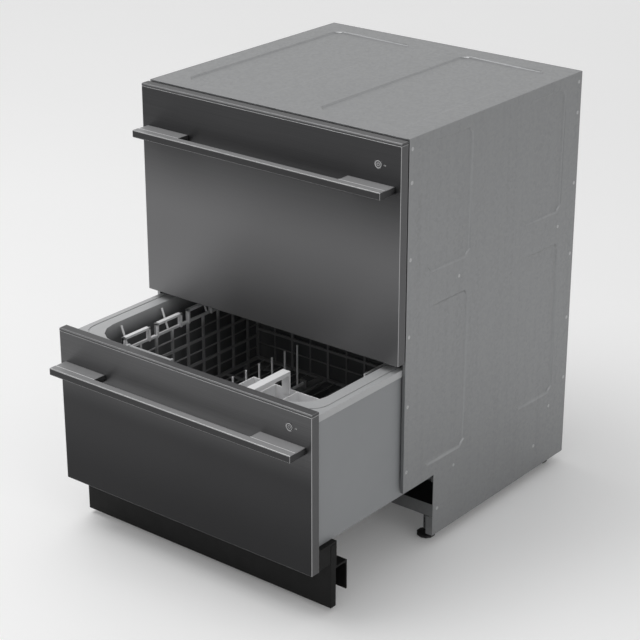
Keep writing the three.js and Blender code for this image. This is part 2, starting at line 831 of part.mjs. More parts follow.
// the battlement line of a side wall, front to back, as (y, z) points
function battlement() {
  const teeth = merlonSpans().flatMap(([start, end]) => [
    [start, rackLowTop], [start, rackHighTop], [end, rackHighTop], [end, rackLowTop],
  ]);
  return [[rackFront, rackLowTop], ...teeth, [rackRear, rackLowTop]];
}

// the battlemented wall on the left, which cups lean against
function leftWall() {
  const xs = [-rackHalf, -rackInner];
  const cutX = [-rackHalf - 1, -rackInner + 1];
  const wall = profileX([[rackFront, rackBottom], ...battlement(), [rackRear, rackBottom]], xs);
  const columns = [];
  const step = merlonPitch / 2;
  for (let start = rackFront + merlonStart - step; start < rackRear - rackBar; start += step) {
    const from = Math.max(start, rackFront) + rackBar;
    const to = Math.min(start + step, rackRear - rackBar);
    if (to - from > 2 * rackBar) columns.push([from, to]);
  }
  const rows = windows(rackFloorTop - rackBar, rackLowTop, leftRows, rackBar);
  const openings = columns.flatMap((ys) => rows.map((zs) => box(cutX, ys, zs)));
  const merlons = merlonSpans().map(([start, end]) => (
    box(cutX, [start + rackBar, end - rackBar], [rackLowTop, rackHighTop - rackBar])));
  return cut(wall, [...openings, ...merlons]);
}

// the plain wall on the right, which carries the cup shelf
function rightWall() {
  const wall = box([rackInner, rackHalf], [rackFront, rackRear], [rackBottom, rackLowTop]);
  const columns = windows(rackFront, rackRear, rightColumns, rackBar);
  const rows = windows(rackFloorTop - rackBar, rackLowTop, rightRows, rackBar);
  return cut(wall, columns.flatMap((ys) => rows.map((zs) => box([rackInner - 1, rackHalf + 1], ys, zs))));
}

function endWall(ys) {
  const wall = box([-rackHalf, rackHalf], ys, [rackBottom, rackEndTop]);
  const columns = windows(-rackHalf, rackHalf, endColumns, rackBar);
  const rows = windows(rackFloorTop - rackBar, rackEndTop, endRows, rackBar);
  return cut(wall, columns.flatMap((xs) => rows.map((zs) => box(xs, [ys[0] - 1, ys[1] + 1], zs))));
}

function rackFloor() {
  const plate = box([-rackHalf, rackHalf], [rackFront, rackRear], [rackBottom, rackFloorTop]);
  const columns = windows(-rackInner, rackInner, floorColumns, rackBar);
  const rows = windows(rackFront + rackWall, rackRear - rackWall, floorRows, rackBar);
  const through = [rackBottom - 1, rackFloorTop + 1];
  return cut(plate, columns.flatMap((xs) => rows.map((ys) => box(xs, ys, through))));
}

function rackLegs() {
  const low = tubFloor + seatGap;
  const xs = [-rackHalf + rackLegInset, rackHalf - rackLegInset - rackLegSide];
  const ys = [rackFront + rackLegY, rackRear - rackLegY - rackLegSide];
  return xs.flatMap((x) => ys.map((y) => box(
    [x, x + rackLegSide], [y, y + rackLegSide], [low, rackBottom + 1])));
}

// prongs that lean out over the left wall, rooted in its top rail
function rackProngs() {
  return Array.from({ length: prongCount }, (_, i) => {
    const y = rackFront + prongStart + i * prongPitch;
    return rod(prongDiameter, [-rackHalf + 1, y, rackLowTop - rackBar / 2],
      [-rackHalf - prongLean, y, prongTip]);
  });
}


// posts that the tine axle turns in, just inside the axle's ends
function tinePosts() {
  const bearing = tineAxle + 2 * runGap;
  return [tineFront - tinePitch / 2, tineRear + tinePitch / 2].map((y) => {
    const post = box(
      [tineX - tinePostWidth / 2, tineX + tinePostWidth / 2], [y - tinePostThick / 2, y + tinePostThick / 2],
      [rackBottom, tineAxleZ + tinePostWidth / 2]);
    return post.subtract(cylinderY(bearing, tineX, tineAxleZ, [y - tinePostThick, y + tinePostThick], 10));
  });
}

// the posts stand on a strip that crosses the floor's bars
function tineStrip() {
  return box([tineX - tinePostWidth / 2, tineX + tinePostWidth / 2],
    [rackFront + 1, rackRear - 1], [rackBottom, rackFloorTop]);
}

// a strip on the right wall with a lug at each end for the cup shelf's axle
function cupBearings() {
  const bearing = cupAxle + 2 * runGap;
  const strip = box([rackInner, rackHalf], [cupFront - cupLugThick, cupRear + cupLugThick],
    [cupAxleZ - cupLug / 2, cupAxleZ + cupLug / 2]);
  const lugs = [cupFront, cupRear].map((y) => {
    const lug = box([cupAxleX - cupLug / 2, rackHalf - 1], [y - cupLugThick / 2, y + cupLugThick / 2],
      [cupAxleZ - cupLug / 2, cupAxleZ + cupLug / 2]);
    return lug.subtract(cylinderY(bearing, cupAxleX, cupAxleZ, [y - cupLugThick, y + cupLugThick], 10));
  });
  return [strip, ...lugs];
}

function rack() {
  return join([
    rackFloor(), leftWall(), rightWall(), endWall([rackFront, rackFront + rackWall]),
    endWall([rackRear - rackWall, rackRear]), ...rackLegs(), ...rackProngs(),
    tineStrip(), ...tinePosts(), ...cupBearings(),
  ]);
}

function tineRow() {
  const overhang = tinePitch / 2 + tinePostThick;
  const axle = cylinderY(tineAxle, tineX, tineAxleZ, [tineFront - overhang, tineRear + overhang], 8);
  const tines = Array.from({ length: tineCount }, (_, i) => cylinderZ(
    tineDiameter, tineX, tineFront + i * tinePitch, [tineAxleZ, tineAxleZ + tineHeight], 6));
  return join([axle, ...tines]);
}

function cupShelf() {
  const axle = cylinderY(cupAxle, cupAxleX, cupAxleZ, [cupFront - cupLugThick, cupRear + cupLugThick], 8);
  const clear = cupLugThick / 2 + runGap;
  const ys = [cupFront + clear, cupRear - clear];
  const xs = [cupAxleX - cupThick / 2, cupAxleX + cupThick / 2];
  const plate = box(xs, ys, [cupAxleZ, cupAxleZ + cupDepth]);
  const columns = windows(ys[0], ys[1], cupColumns, cupBar);
  const rows = windows(cupAxleZ + cupAxle / 2, cupAxleZ + cupDepth, cupRows, cupBar);
  const gaps = columns.flatMap((y) => rows.map((z) => box([xs[0] - 1, xs[1] + 1], y, z)));
  return cut(plate, gaps).add(axle);
}

// ---------- cutlery basket ----------

function basketHandle() {
  const middle = (basketLeft + basketRight) / 2;
  const xs = [middle - basketHandleWidth / 2, middle + basketHandleWidth / 2];
  const bar = box(xs, [basketFront - basketHandleReach, basketRear],
    [basketHandleTop - basketHandleThick, basketHandleTop]);
  const struts = [[basketFront, basketFront + basketStrut], [basketRear - basketStrut, basketRear]];
  const ends = struts.map((ys) => box(xs, ys, [basketTop - basketStrutRoot, basketHandleTop - 1]));
  return [bar, ...ends];
}

function cutleryBasket() {
  const bottom = rackFloorTop + seatGap;
  const body = box([basketLeft, basketRight], [basketFront, basketRear], [bottom, basketTop]);
  const columns = windows(basketLeft, basketRight, basketColumns, basketWall);
  const rows = windows(basketFront, basketRear, basketRowCount, basketWall);
  const cells = columns.flatMap((xs) => rows.map((ys) => box(xs, ys, [bottom + basketWall, basketTop + 1])));
  const pitch = (basketRight - basketLeft) / basketSlots;
  const slots = Array.from({ length: basketSlots }, (_, i) => {
    const x = basketLeft + (i + 0.5) * pitch;
    return box([x - basketSlotWidth / 2, x + basketSlotWidth / 2], [basketFront - 1, basketRear + 1],
      [bottom + basketSlotRise, basketTop - basketSlotDrop]);
  });
  const divider = (basketFront + basketRear) / 2;
  const spine = box([basketLeft + 0.5, basketRight - 0.5],
    [divider - basketWall / 2, divider + basketWall / 2], [bottom + 0.5, basketTop]);
  return join([cut(body, [...cells, ...slots]), spine, ...basketHandle()]);
}

// ---------- kickstrip ----------

function kickstrip() {
  return box([-panelHalf, panelHalf], [kickSetback, kickSetback + kickThick],
    [kickBottom, shellBottom - seatGap - carrierTop - seatGap]);
}

// one folded section: a block behind the panel, a top over the kickstrip, a rear web, a shelf and an apron
function kickBracket() {
  const top = shellBottom - seatGap;
  const low = lowerPanelBottom + carrierLap;
  const front = panelThick + seatGap;
  const stripFront = kickSetback - seatGap;
  const stripRear = kickSetback + kickThick + seatGap;
  const apronFront = apronRear - apronThick;
  const shelfBottom = apronTop - apronShelf;
  const fillet = Array.from({ length: 4 }, (_, i) => {
    const angle = (Math.PI / 2) * (i / 3);
    return [apronFront - apronFillet + apronFillet * Math.sin(angle),
      shelfBottom - apronFillet + apronFillet * Math.cos(angle)];
  });
  return profileX([
    [front, low], [stripFront, low], [stripFront, top - carrierTop],
    [stripRear, top - carrierTop], [stripRear, shelfBottom], ...fillet, [apronFront, apronBottom],
    [apronRear, apronBottom], [apronRear, apronTop], [stripRear + carrierWeb, apronTop],
    [stripRear + carrierWeb, top], [front, top],
  ], [-panelHalf + seatGap, panelHalf - seatGap]);
}

// ---------- lids ----------

function lid() {
  const plan = { x: [-lidHalf, lidHalf], y: [lidFront, lidRear], r: lidCorner };
  const body = loft([
    { z: lidBottom, ...plan }, { z: lidTop - lidEdgeHeight, ...plan },
    { z: lidTop, ...grown(plan, -lidEdgeInset) },
  ], 4);
  const inside = { ...grown(plan, -lidHollowInset), r: lidCorner };
  const hollow = loft([{ z: lidBottom - 1, ...inside }, { z: lidTop - lidSkin, ...inside }], 2);
  const ribs = [-lidHalf / 2, 0, lidHalf / 2].map((x) => box(
    [x - lidRib / 2, x + lidRib / 2], [lidFront + 2, lidRear - 2], [lidBottom + lidThick / 2, lidTop - 1]));
  const lugLow = lidBottom + lugRise;
  const lugs = [-1, 1].map((side) => box([side * (lidHalf - 1), side * (lidHalf + lugReach)],
    [lidMiddleY - lugWidth / 2, lidMiddleY + lugWidth / 2], [lugLow, lugLow + lugHeight]));
  return join([body.subtract(hollow), ...ribs, ...lugs]);
}

// a block on the chassis wall with a slot that the lid's lug rides in
function lidGuide(side, level) {
  const face = lidHalf + 2 * seatGap;
  const high = level + lidGuideTop;
  const block = box([side * face, side * (sideInner - seatGap)],
    [lidMiddleY - lidGuideWidth / 2, lidMiddleY + lidGuideWidth / 2], [high - lidGuideHeight, high]);
  const lugTop = level + lidBottom + lugRise + lugHeight;
  const slot = box([side * (face - 1), side * (lidHalf + lugReach + runGap)],
    [lidMiddleY - lugWidth / 2 - runGap, lidMiddleY + lugWidth / 2 + runGap],
    [lugTop - lugHeight - lidTravel - runGap, lugTop + runGap]);
  return block.subtract(slot);
}

// ---------- chassis ----------

// a shallow field with sloping edges, pressed down into a sheet whose upper face is at the given level
function pressField(sheet, { x, y }, level) {
  const plan = { x, y, r: pressCorner };
  const floor = grown(plan, -pressSlope);
  const under = level - chassisSheet;
  const boss = loft([
    { z: under - pressDepth, ...grown(floor, chassisSheet) },
    { z: under + chassisSheet / 2, ...grown(plan, chassisSheet) },
  ], 1);
  const hollow = loft([
    { z: level - pressDepth, ...floor }, { z: level, ...plan }, { z: level + 1, ...plan },
  ], 1);
  return sheet.add(boss).subtract(hollow);
}

// the places of the fields on a side, between its folds, its runners and the lid guides
function sideFields() {
  const front = chassisFront + pressFrontInset;
  const rear = chassisRear - pressRearInset;
  const columns = [[front, front + pressWidth], [rear - pressWidth, rear]];
  const levels = [
    [runnerTop + pressClear, drawerPitch + runnerBottom - pressClear],
    [drawerPitch + runnerTop + pressClear, chassisTop - pressClear],
  ];
  return columns.flatMap((x) => levels.map((y) => ({ x, y })));
}

// a flat sheet whose plan is its (y, z) outline, pressed and then stood up on its side of the chassis
function pressedSheet(side) {
  const flat = toSolid(extrude(outline([
    [chassisFront, toeHeight], [toeDepth, toeHeight], [toeDepth, chassisBottom],
    [chassisRear, chassisBottom], [chassisRear, chassisTop], [chassisFront, chassisTop],
  ]), chassisSheet).translate(0, 0, sideInner));
  const pressed = sideFields().reduce((sheet, field) => pressField(sheet, field, chassisHalf), flat);
  const right = pressed.transform(alongX.elements);
  return side > 0 ? right : right.mirror([1, 0, 0]);
}

function chassisSide(side) {
  const frontFold = box([side * chassisHalf, side * (sideInner - chassisFlange + chassisSheet)],
    [chassisFront, chassisFront + chassisSheet], [toeHeight, chassisTop]);
  const rearFold = box([side * chassisHalf, side * (sideInner - rearFlange)],
    [chassisRear - chassisSheet, chassisRear], [chassisBottom, chassisTop]);
  const toeFold = box([side * chassisHalf, side * (sideInner - rearFlange)],
    [toeDepth, toeDepth + chassisSheet], [chassisBottom, baseHeight - seatGap]);
  return join([pressedSheet(side), frontFold, rearFold, toeFold]);
}

function chassisBack() {
  const ys = [chassisRear + seatGap, chassisRear + seatGap + chassisSheet];
  const sheet = box([-chassisHalf, chassisHalf], ys, [chassisBottom, chassisTop]);
  const spacing = (2 * chassisHalf) / (swageCount + 1);
  const swages = Array.from({ length: swageCount }, (_, i) => {
    const x = -chassisHalf + (i + 1) * spacing;
    const ridge = {
      x: [x - swageWidth / 2, x + swageWidth / 2], y: [ys[1] - chassisSheet / 2, ys[1] + swageDepth], r: 1,
    };
    return loft([{ z: chassisBottom + swageRise, ...ridge }, { z: chassisTop - swageDrop, ...ridge }], 1);
  });
  const hatchBottom = chassisBottom + hatchRise;
  const hatch = box([hatchOffset - hatchWidth / 2, hatchOffset + hatchWidth / 2],
    [ys[0] - 1, ys[1] + 1], [hatchBottom, hatchBottom + hatchHeight]);
  return join([sheet, ...swages]).subtract(hatch);
}

function chassisRoof() {
  const half = sideInner - seatGap;
  const rear = chassisRear - chassisSheet - seatGap;
  const flat = box([-half, half], [chassisFront, rear], [chassisTop - chassisSheet, chassisTop]);
  const fieldInner = roofPressSpacing / 2;
  const fieldOuter = half - roofPressInset;
  const fieldY = [chassisFront + roofPressInset, rear - roofPressInset];
  const fields = [[-fieldOuter, -fieldInner], [fieldInner, fieldOuter]];
  const sheet = fields.reduce((rest, x) => pressField(rest, { x, y: fieldY }, chassisTop), flat);
  const lipHalf = sideInner - chassisFlange + chassisSheet - seatGap;
  const lip = box([-lipHalf, lipHalf], [chassisFront, chassisFront + chassisSheet],
    [chassisTop - roofLip, chassisTop]);
  const foldInner = sideInner - rearFlange - seatGap;
  const rearLip = box([-foldInner, foldInner], [rear - chassisSheet, rear],
    [chassisTop - roofLip, chassisTop]);
  const clearFold = [-1, 1].map((side) => box([side * (lipHalf), side * (half + 1)],
    [chassisFront - 1, chassisFront + chassisSheet + seatGap], [chassisTop - roofLip - 1, chassisTop + 1]));
  return cut(join([sheet, lip, rearLip]), clearFold);
}

function chassisBase() {
  const half = sideInner - seatGap;
  const front = toeDepth + chassisSheet + seatGap;
  const rear = chassisRear - chassisSheet - seatGap;
  const tray = box([-half, half], [front, rear], [baseHeight, baseHeight + baseSheet]);
  const upstands = [[front, front + baseSheet], [rear - baseSheet, rear]].map((ys) => box(
    [-half, half], ys, [baseHeight, baseHeight + baseUpstand]));
  const sides = [-1, 1].map((side) => box(
    [side * half, side * (half - baseSheet)], [front, rear], [baseHeight, baseHeight + baseUpstand]));
  return join([tray, ...upstands, ...sides]);
}

function crossRail() {
  const front = chassisFront + crossRailSetback;
  const rear = front + crossRailDepth;
  const low = lidTop + crossRailAboveLid;
  const high = low + crossRailHeight;
  const web = front + crossRailSheet;
  return profileX([
    [front, low], [rear, low], [rear, low + crossRailSheet], [web, low + crossRailSheet],
    [web, high - crossRailSheet], [rear, high - crossRailSheet], [rear, high], [front, high],
  ], [-sideInner + seatGap, sideInner - seatGap]);
}

// a threaded stem on a round pad, under the base
function levellingFoot(x, y) {
  const points = [
    [0, 0], [footDiameter / 2 - footChamfer, 0], [footDiameter / 2, footChamfer],
    [footDiameter / 2, footPad - footChamfer], [footStem, footPad], [footStem / 2, footPad + footNeck],
    [footStem / 2, baseHeight - seatGap],
    [0, baseHeight - seatGap],
  ];
  const geometry = new THREE.LatheGeometry(points.map(([r, z]) => new THREE.Vector2(r, z)), 10);
  return toSolid(geometry.rotateX(Math.PI / 2).translate(x, y, 0));
}

// ---------- assembly ----------

function addFront(group, name, front) {
  piece(group, `${name}_front_skin`, frontSkin(front), darkSteel);
  piece(group, `${name}_front_liner`, frontLiner(front), blackPlastic);
  piece(group, `${name}_top_cap`, topCap(front), blackPlastic);
  piece(group, `${name}_handle`, handle(front), handleSteel);
  piece(group, `${name}_start_button`, startButton(front), chromeCap);
}

function addTub(group, name) {
  piece(group, `${name}_tub`, tub(), greyPlastic);
  piece(group, `${name}_tub_shell`, steelShell(), shellPaint);
  piece(group, `${name}_dispenser_flap`, dispenserFlap(), greyPlastic);
  piece(group, `${name}_filter_plate`, filterPlate(), greyPlastic);
  piece(group, `${name}_spray_arm`, sprayArm(), greyPlastic);
  piece(group, `${name}_wash_motor`, washMotor(), blackPlastic);
  piece(group, `${name}_runner_rail_left`, runnerRail(-1), runnerSteel);
  piece(group, `${name}_runner_rail_right`, runnerRail(1), runnerSteel);
}

function addRack(group, name) {
  piece(group, `${name}_rack`, rack(), rackPlastic);
  piece(group, `${name}_tine_row`, tineRow(), rackPlastic);
  piece(group, `${name}_cup_shelf`, cupShelf(), rackPlastic);
  piece(group, `${name}_cutlery_basket`, cutleryBasket(), rackPlastic);
}

function makeDrawer(name, front) {
  const drawer = new THREE.Group();
  addFront(drawer, name, front);
  addTub(drawer, name);
  addRack(drawer, name);
  return drawer;
}

function addRunners(group, name, level, opening) {
  const fixed = new THREE.Group();
  const sliding = new THREE.Group();
  piece(fixed, `${name}_outer_runner_left`, outerRunner(-1), zincSteel);
  piece(fixed, `${name}_outer_runner_right`, outerRunner(1), zincSteel);
  piece(sliding, `${name}_middle_runner_left`, middleRunner(-1), runnerSteel);
  piece(sliding, `${name}_middle_runner_right`, middleRunner(1), runnerSteel);
  fixed.position.set(0, 0, level);
  sliding.position.set(0, -opening / 2, level);
  group.add(fixed, sliding);
}

function addLid(group, name, level) {
  const raised = new THREE.Group();
  piece(raised, `${name}_lid`, lid(), greyPlastic);
  raised.position.z = level;
  group.add(raised);
  piece(group, `${name}_lid_guide_left`, lidGuide(-1, level), blackPlastic);
  piece(group, `${name}_lid_guide_right`, lidGuide(1, level), blackPlastic);
}

function addChassis(group) {
  piece(group, 'chassis_side_left', chassisSide(-1), zincSteel);
  piece(group, 'chassis_side_right', chassisSide(1), zincSteel);
  piece(group, 'chassis_back', chassisBack(), zincSteel);
  piece(group, 'chassis_roof', chassisRoof(), zincSteel);
  piece(group, 'chassis_base', chassisBase(), zincSteel);
  piece(group, 'cross_rail', crossRail(), zincSteel);
  const footX = sideInner - footInsetX;
  const footFront = toeDepth + footInsetY;
  const footRear = chassisRear - footInsetY;
  piece(group, 'foot_front_left', levellingFoot(-footX, footFront), blackRubber);
  piece(group, 'foot_front_right', levellingFoot(footX, footFront), blackRubber);
  piece(group, 'foot_rear_left', levellingFoot(-footX, footRear), blackRubber);
  piece(group, 'foot_rear_right', levellingFoot(footX, footRear), blackRubber);
}

const buttonX = panelHalf - buttonInset;
const lowerFront = {
  bottom: lowerPanelBottom, top: lowerPanelTop, handleZ: lowerPanelTop - lowerHandleDrop,
  buttonX, buttonZ: lowerPanelTop - lowerButtonDrop,
};
const upperFront = {
  bottom: upperPanelBottom - drawerPitch, top: upperPanelTop - drawerPitch,
  handleZ: upperPanelTop - upperHandleDrop - drawerPitch,
  buttonX, buttonZ: upperPanelTop - upperButtonDrop - drawerPitch,
};

const machine = new THREE.Group();
addChassis(machine);
addRunners(machine, 'lower', 0, lowerOpening);
addRunners(machine, 'upper', drawerPitch, 0);
addLid(machine, 'lower', 0);
addLid(machine, 'upper', drawerPitch);

const lowerDrawer = makeDrawer('lower', lowerFront);
piece(lowerDrawer, 'kickstrip', kickstrip(), blackPlastic);
piece(lowerDrawer, 'kick_bracket', kickBracket(), blackPlastic);
lowerDrawer.position.y = -lowerOpening;
machine.add(lowerDrawer);

const upperDrawer = makeDrawer('upper', upperFront);
upperDrawer.position.z = drawerPitch;
machine.add(upperDrawer);

// centre the box of the whole machine on Y = 0
const frontmost = -lowerOpening - handleProjection;
const rearmost = chassisRear + seatGap + chassisSheet + swageDepth;
machine.position.y = -(frontmost + rearmost) / 2;

const model = new THREE.Group();
model.add(machine);

export default model;
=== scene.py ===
"""The dressed model of a double-drawer dishwasher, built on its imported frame.

Metres, +Z up, front towards -Y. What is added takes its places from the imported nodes, apart from
the screws and the service hatch, which have some written places.
Tones are written as 8-bit screen greys, which grey() turns into linear colours.
"""
import json
import math

import bmesh
import bpy
from mathutils import Matrix, Vector

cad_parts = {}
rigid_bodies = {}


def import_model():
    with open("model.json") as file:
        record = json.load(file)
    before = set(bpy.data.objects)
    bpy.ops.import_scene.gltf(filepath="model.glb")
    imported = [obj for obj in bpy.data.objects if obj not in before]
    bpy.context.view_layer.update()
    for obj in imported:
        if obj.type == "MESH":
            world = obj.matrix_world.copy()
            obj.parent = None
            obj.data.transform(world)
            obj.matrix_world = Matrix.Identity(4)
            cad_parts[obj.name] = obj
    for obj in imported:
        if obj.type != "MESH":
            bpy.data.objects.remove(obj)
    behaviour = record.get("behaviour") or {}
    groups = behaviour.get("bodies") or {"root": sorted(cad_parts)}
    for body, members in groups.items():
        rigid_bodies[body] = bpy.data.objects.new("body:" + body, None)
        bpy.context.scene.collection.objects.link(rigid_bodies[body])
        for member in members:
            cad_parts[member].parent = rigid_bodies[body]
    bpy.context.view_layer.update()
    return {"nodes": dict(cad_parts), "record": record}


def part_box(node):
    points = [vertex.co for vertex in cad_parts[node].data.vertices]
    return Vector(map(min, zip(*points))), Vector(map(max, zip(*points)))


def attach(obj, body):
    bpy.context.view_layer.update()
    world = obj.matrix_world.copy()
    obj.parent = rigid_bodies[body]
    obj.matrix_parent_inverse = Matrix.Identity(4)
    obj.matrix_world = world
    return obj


for left_over in list(bpy.data.objects):
    bpy.data.objects.remove(left_over)

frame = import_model()
nodes = frame["nodes"]
MM = 0.001
DRAWERS = ("lower", "upper")
OPEN_AT_REST = {"lower": 0.24, "upper": 0.0}  # how far each drawer is drawn out in the frame

# ---------- shader helpers ----------

NOISE_RANGE = (0.3, 0.7)  # where nearly all values of a noise lie
COOL = (0, 0, 1)
COOLER = (0, 1, 2)


def srgb(level):
    """An 8-bit screen value as a linear one."""
    part = level / 255
    return part / 12.92 if part <= 0.04045 else ((part + 0.055) / 1.055) ** 2.4


def grey(level, tint=(0, 0, 0)):
    return tuple(srgb(max(level + shift, 0)) for shift in tint) + (1.0,)


class Shader:
    """One Principled material and the nodes that feed it."""

    def __init__(self, name, color, roughness, metallic=0.0, **sockets):
        self.material = bpy.data.materials.new(name)
        self.material.use_nodes = True
        self.tree = self.material.node_tree
        self.bsdf = self.tree.nodes["Principled BSDF"]
        self.bsdf.inputs["Base Color"].default_value = color
        self.bsdf.inputs["Roughness"].default_value = roughness
        self.bsdf.inputs["Metallic"].default_value = metallic
        for socket, value in sockets.items():
            self.bsdf.inputs[socket.replace("_", " ")].default_value = value
        self.color = color
        self.roughness = roughness
        self.bump = None

    def node(self, kind, **settings):
        made = self.tree.nodes.new(kind)
        for key, value in settings.items():
            setattr(made, key, value)
        return made

    def link(self, source, target):
        self.tree.links.new(source, target)

    def place(self):
        """Object coordinates, which move with the piece and equal the frame's places at rest."""
        return self.node("ShaderNodeTexCoord").outputs["Object"]

    def normal(self):
        return self.node("ShaderNodeNewGeometry").outputs["Normal"]

    def part(self, vector, axis):
        """One component of a vector."""
        axes = self.node("ShaderNodeSeparateXYZ")
        self.link(vector, axes.inputs["Vector"])
        return axes.outputs[axis]

    def math(self, operation, *values):
        """One operation on sockets and numbers."""
        made = self.node("ShaderNodeMath", operation=operation)
        for socket, value in zip(made.inputs, values):
            if isinstance(value, bpy.types.NodeSocket):
                self.link(value, socket)
            else:
                socket.default_value = value
        return made.outputs["Value"]

    def ramp(self, factor, start, end, low=0.0, high=1.0, smooth=False):
        """A factor between start and end turned into a value between low and high."""
        made = self.node("ShaderNodeMapRange", interpolation_type="SMOOTHSTEP" if smooth else "LINEAR")
        made.inputs["From Min"].default_value = start
        made.inputs["From Max"].default_value = end
        made.inputs["To Min"].default_value = low
        made.inputs["To Max"].default_value = high
        self.link(factor, made.inputs["Value"])
        return made.outputs["Result"]

    def coordinates(self, stretch=(1, 1, 1)):
        """The place stretched along each axis."""
        scale = self.node("ShaderNodeMapping")
        scale.inputs["Scale"].default_value = stretch
        self.link(self.place(), scale.inputs["Vector"])
        return scale.outputs["Vector"]

    def noise(self, scale, stretch=(1, 1, 1), detail=3):
        made = self.node("ShaderNodeTexNoise")
        made.inputs["Scale"].default_value = scale
        made.inputs["Detail"].default_value = detail
        made.inputs["Roughness"].default_value = 0.55
        self.link(self.coordinates(stretch), made.inputs["Vector"])
        return made.outputs["Fac"]

    def cells(self, scale, randomness=1.0):
        """A pattern of cells round scattered or evenly set points."""
        made = self.node("ShaderNodeTexVoronoi", feature="F1")
        made.inputs["Scale"].default_value = scale
        made.inputs["Randomness"].default_value = randomness
        self.link(self.coordinates(), made.inputs["Vector"])
        return made.outputs

    def tone(self, factor, amount):
        """The colour varied up and down by a share of itself."""
        mix = self.node("ShaderNodeMix", data_type="RGBA")
        for socket, share in (("A", 1 - amount), ("B", 1 + amount)):
            mix.inputs[socket].default_value = tuple(min(c * share, 1) for c in self.color[:3]) + (1,)
        self.link(self.ramp(factor, *NOISE_RANGE), mix.inputs["Factor"])
        self.link(mix.outputs["Result"], self.bsdf.inputs["Base Color"])

    def gloss(self, factor, amount):
        """The roughness varied up and down by an amount."""
        low, high = max(self.roughness - amount, 0.02), self.roughness + amount
        self.link(self.ramp(factor, *NOISE_RANGE, low, high), self.bsdf.inputs["Roughness"])

    def relief(self, height, depth):
        """Adds a bump of this depth in metres, on top of any bump already there."""
        made = self.node("ShaderNodeBump")
        made.inputs["Distance"].default_value = depth
        made.inputs["Strength"].default_value = 1.0
        self.link(height, made.inputs["Height"])
        if self.bump:
            self.link(self.bump.outputs["Normal"], made.inputs["Normal"])
        self.link(made.outputs["Normal"], self.bsdf.inputs["Normal"])
        self.bump = made

    def blend_tone(self, factor, level, tint=COOL):
        """Mixes the colour made so far with a second grey."""
        mix = self.node("ShaderNodeMix", data_type="RGBA")
        self.link(self.bsdf.inputs["Base Color"].links[0].from_socket, mix.inputs["A"])
        mix.inputs["B"].default_value = grey(level, tint)
        self.link(factor, mix.inputs["Factor"])
        self.link(mix.outputs["Result"], self.bsdf.inputs["Base Color"])
        return self

    def paint_shading_by_tilt(self, axis, start, end, level):
        """Paints another tone onto faces, as painted light and shade, as one part of their normal goes
        from start to end.
        """
        tilt = self.part(self.normal(), axis)
        if axis == "X":
            tilt = self.math("ABSOLUTE", tilt)
        return self.blend_tone(self.ramp(tilt, start, end), level)

    def paint_shading_by_height(self, high, low, level):
        """Paints light and shade as a tone that drifts to another level between two heights."""
        return self.blend_tone(self.ramp(self.part(self.place(), "Z"), high, low, smooth=True), level)


def brushed(name, level, roughness, grain=(5, 1100, 1100), depth=0.000012, spread=0.75, metallic=1.0):
    """Metal brushed along X, which spreads a reflection up and down, with a slow cloudiness."""
    made = Shader(name, grey(level, COOL), roughness, metallic=metallic, Anisotropic=spread)
    along = made.node("ShaderNodeCombineXYZ")
    along.inputs["X"].default_value = 1.0
    turned = made.node("ShaderNodeVectorMath", operation="CROSS_PRODUCT")
    made.link(along.outputs["Vector"], turned.inputs[0])
    made.link(made.normal(), turned.inputs[1])
    made.link(turned.outputs["Vector"], made.bsdf.inputs["Tangent"])
    lines = made.noise(1.0, grain, detail=2)
    made.tone(lines, amount=0.09)
    made.gloss(made.noise(3.0, detail=2), amount=0.03)
    made.relief(lines, depth)
    return made


def edge_painted_highlight(name, level, roughness):
    """A steel edge with a painted highlight, and painted shade along its underside."""
    made = brushed(name, level, roughness, depth=0.000002, spread=0.0)
    return made.paint_shading_by_tilt("Z", start=-0.1, end=-0.45, level=58)


def moulded(name, level, roughness, tint=(0, 0, 0), grain=1400, **sockets):
    """Plastic with a fine moulded grain and a faint change of tone."""
    made = Shader(name, grey(level, tint), roughness, **sockets)
    made.tone(made.noise(9.0, detail=4), amount=0.04)
    made.relief(made.noise(grain, detail=2), depth=0.00003)
    made.gloss(made.noise(40.0), amount=0.05)
    return made


def painted(name, level, roughness, tint):
    """Satin paint on sheet steel, with a faint orange peel."""
    made = Shader(name, grey(level, tint), roughness, Coat_Weight=0.15, Coat_Roughness=0.3)
    made.tone(made.noise(5.0, detail=4), amount=0.03)
    made.relief(made.noise(220.0, detail=1), depth=0.00004)
    made.gloss(made.noise(30.0), amount=0.04)
    return made


def galvanised(name, level, roughness):
    """Zinc-coated sheet with its fine crystal pattern and rolling marks."""
    made = Shader(name, grey(level, COOLER), roughness, metallic=1.0)
    crystals = made.node("ShaderNodeSeparateColor")
    made.link(made.cells(190.0)["Color"], crystals.inputs["Color"])
    rolling = made.noise(1.0, (60, 60, 2))
    crystal_share = 0.35
    made.tone(made.math("MULTIPLY_ADD", crystals.outputs["Red"], crystal_share, rolling), amount=0.045)
    made.gloss(crystals.outputs["Green"], amount=0.035)
    made.relief(made.noise(14.0, detail=1), depth=0.0006)
    return made


def tub_plastic_with_painted_shade(name):
    """A tub's satin plastic, with painted shade that makes it deeper in tone inside the bowl than on its
    rim.
    """
    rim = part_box(name)[1].z
    bowl_half_width = 265 * MM
    made = moulded(f"{name}_plastic", level=174, roughness=0.36, tint=COOLER)
    shade_below_rim = made.ramp(made.part(made.place(), "Z"), start=rim - 2 * MM, end=rim - 30 * MM)
    across = made.math("ABSOLUTE", made.part(made.place(), "X"))
    inside = made.math("LESS_THAN", across, bowl_half_width)
    # painted shade: darker inside the bowl, from 2 mm to 30 mm under the rim
    return made.blend_tone(made.math("MULTIPLY", shade_below_rim, inside), level=96, tint=COOLER)


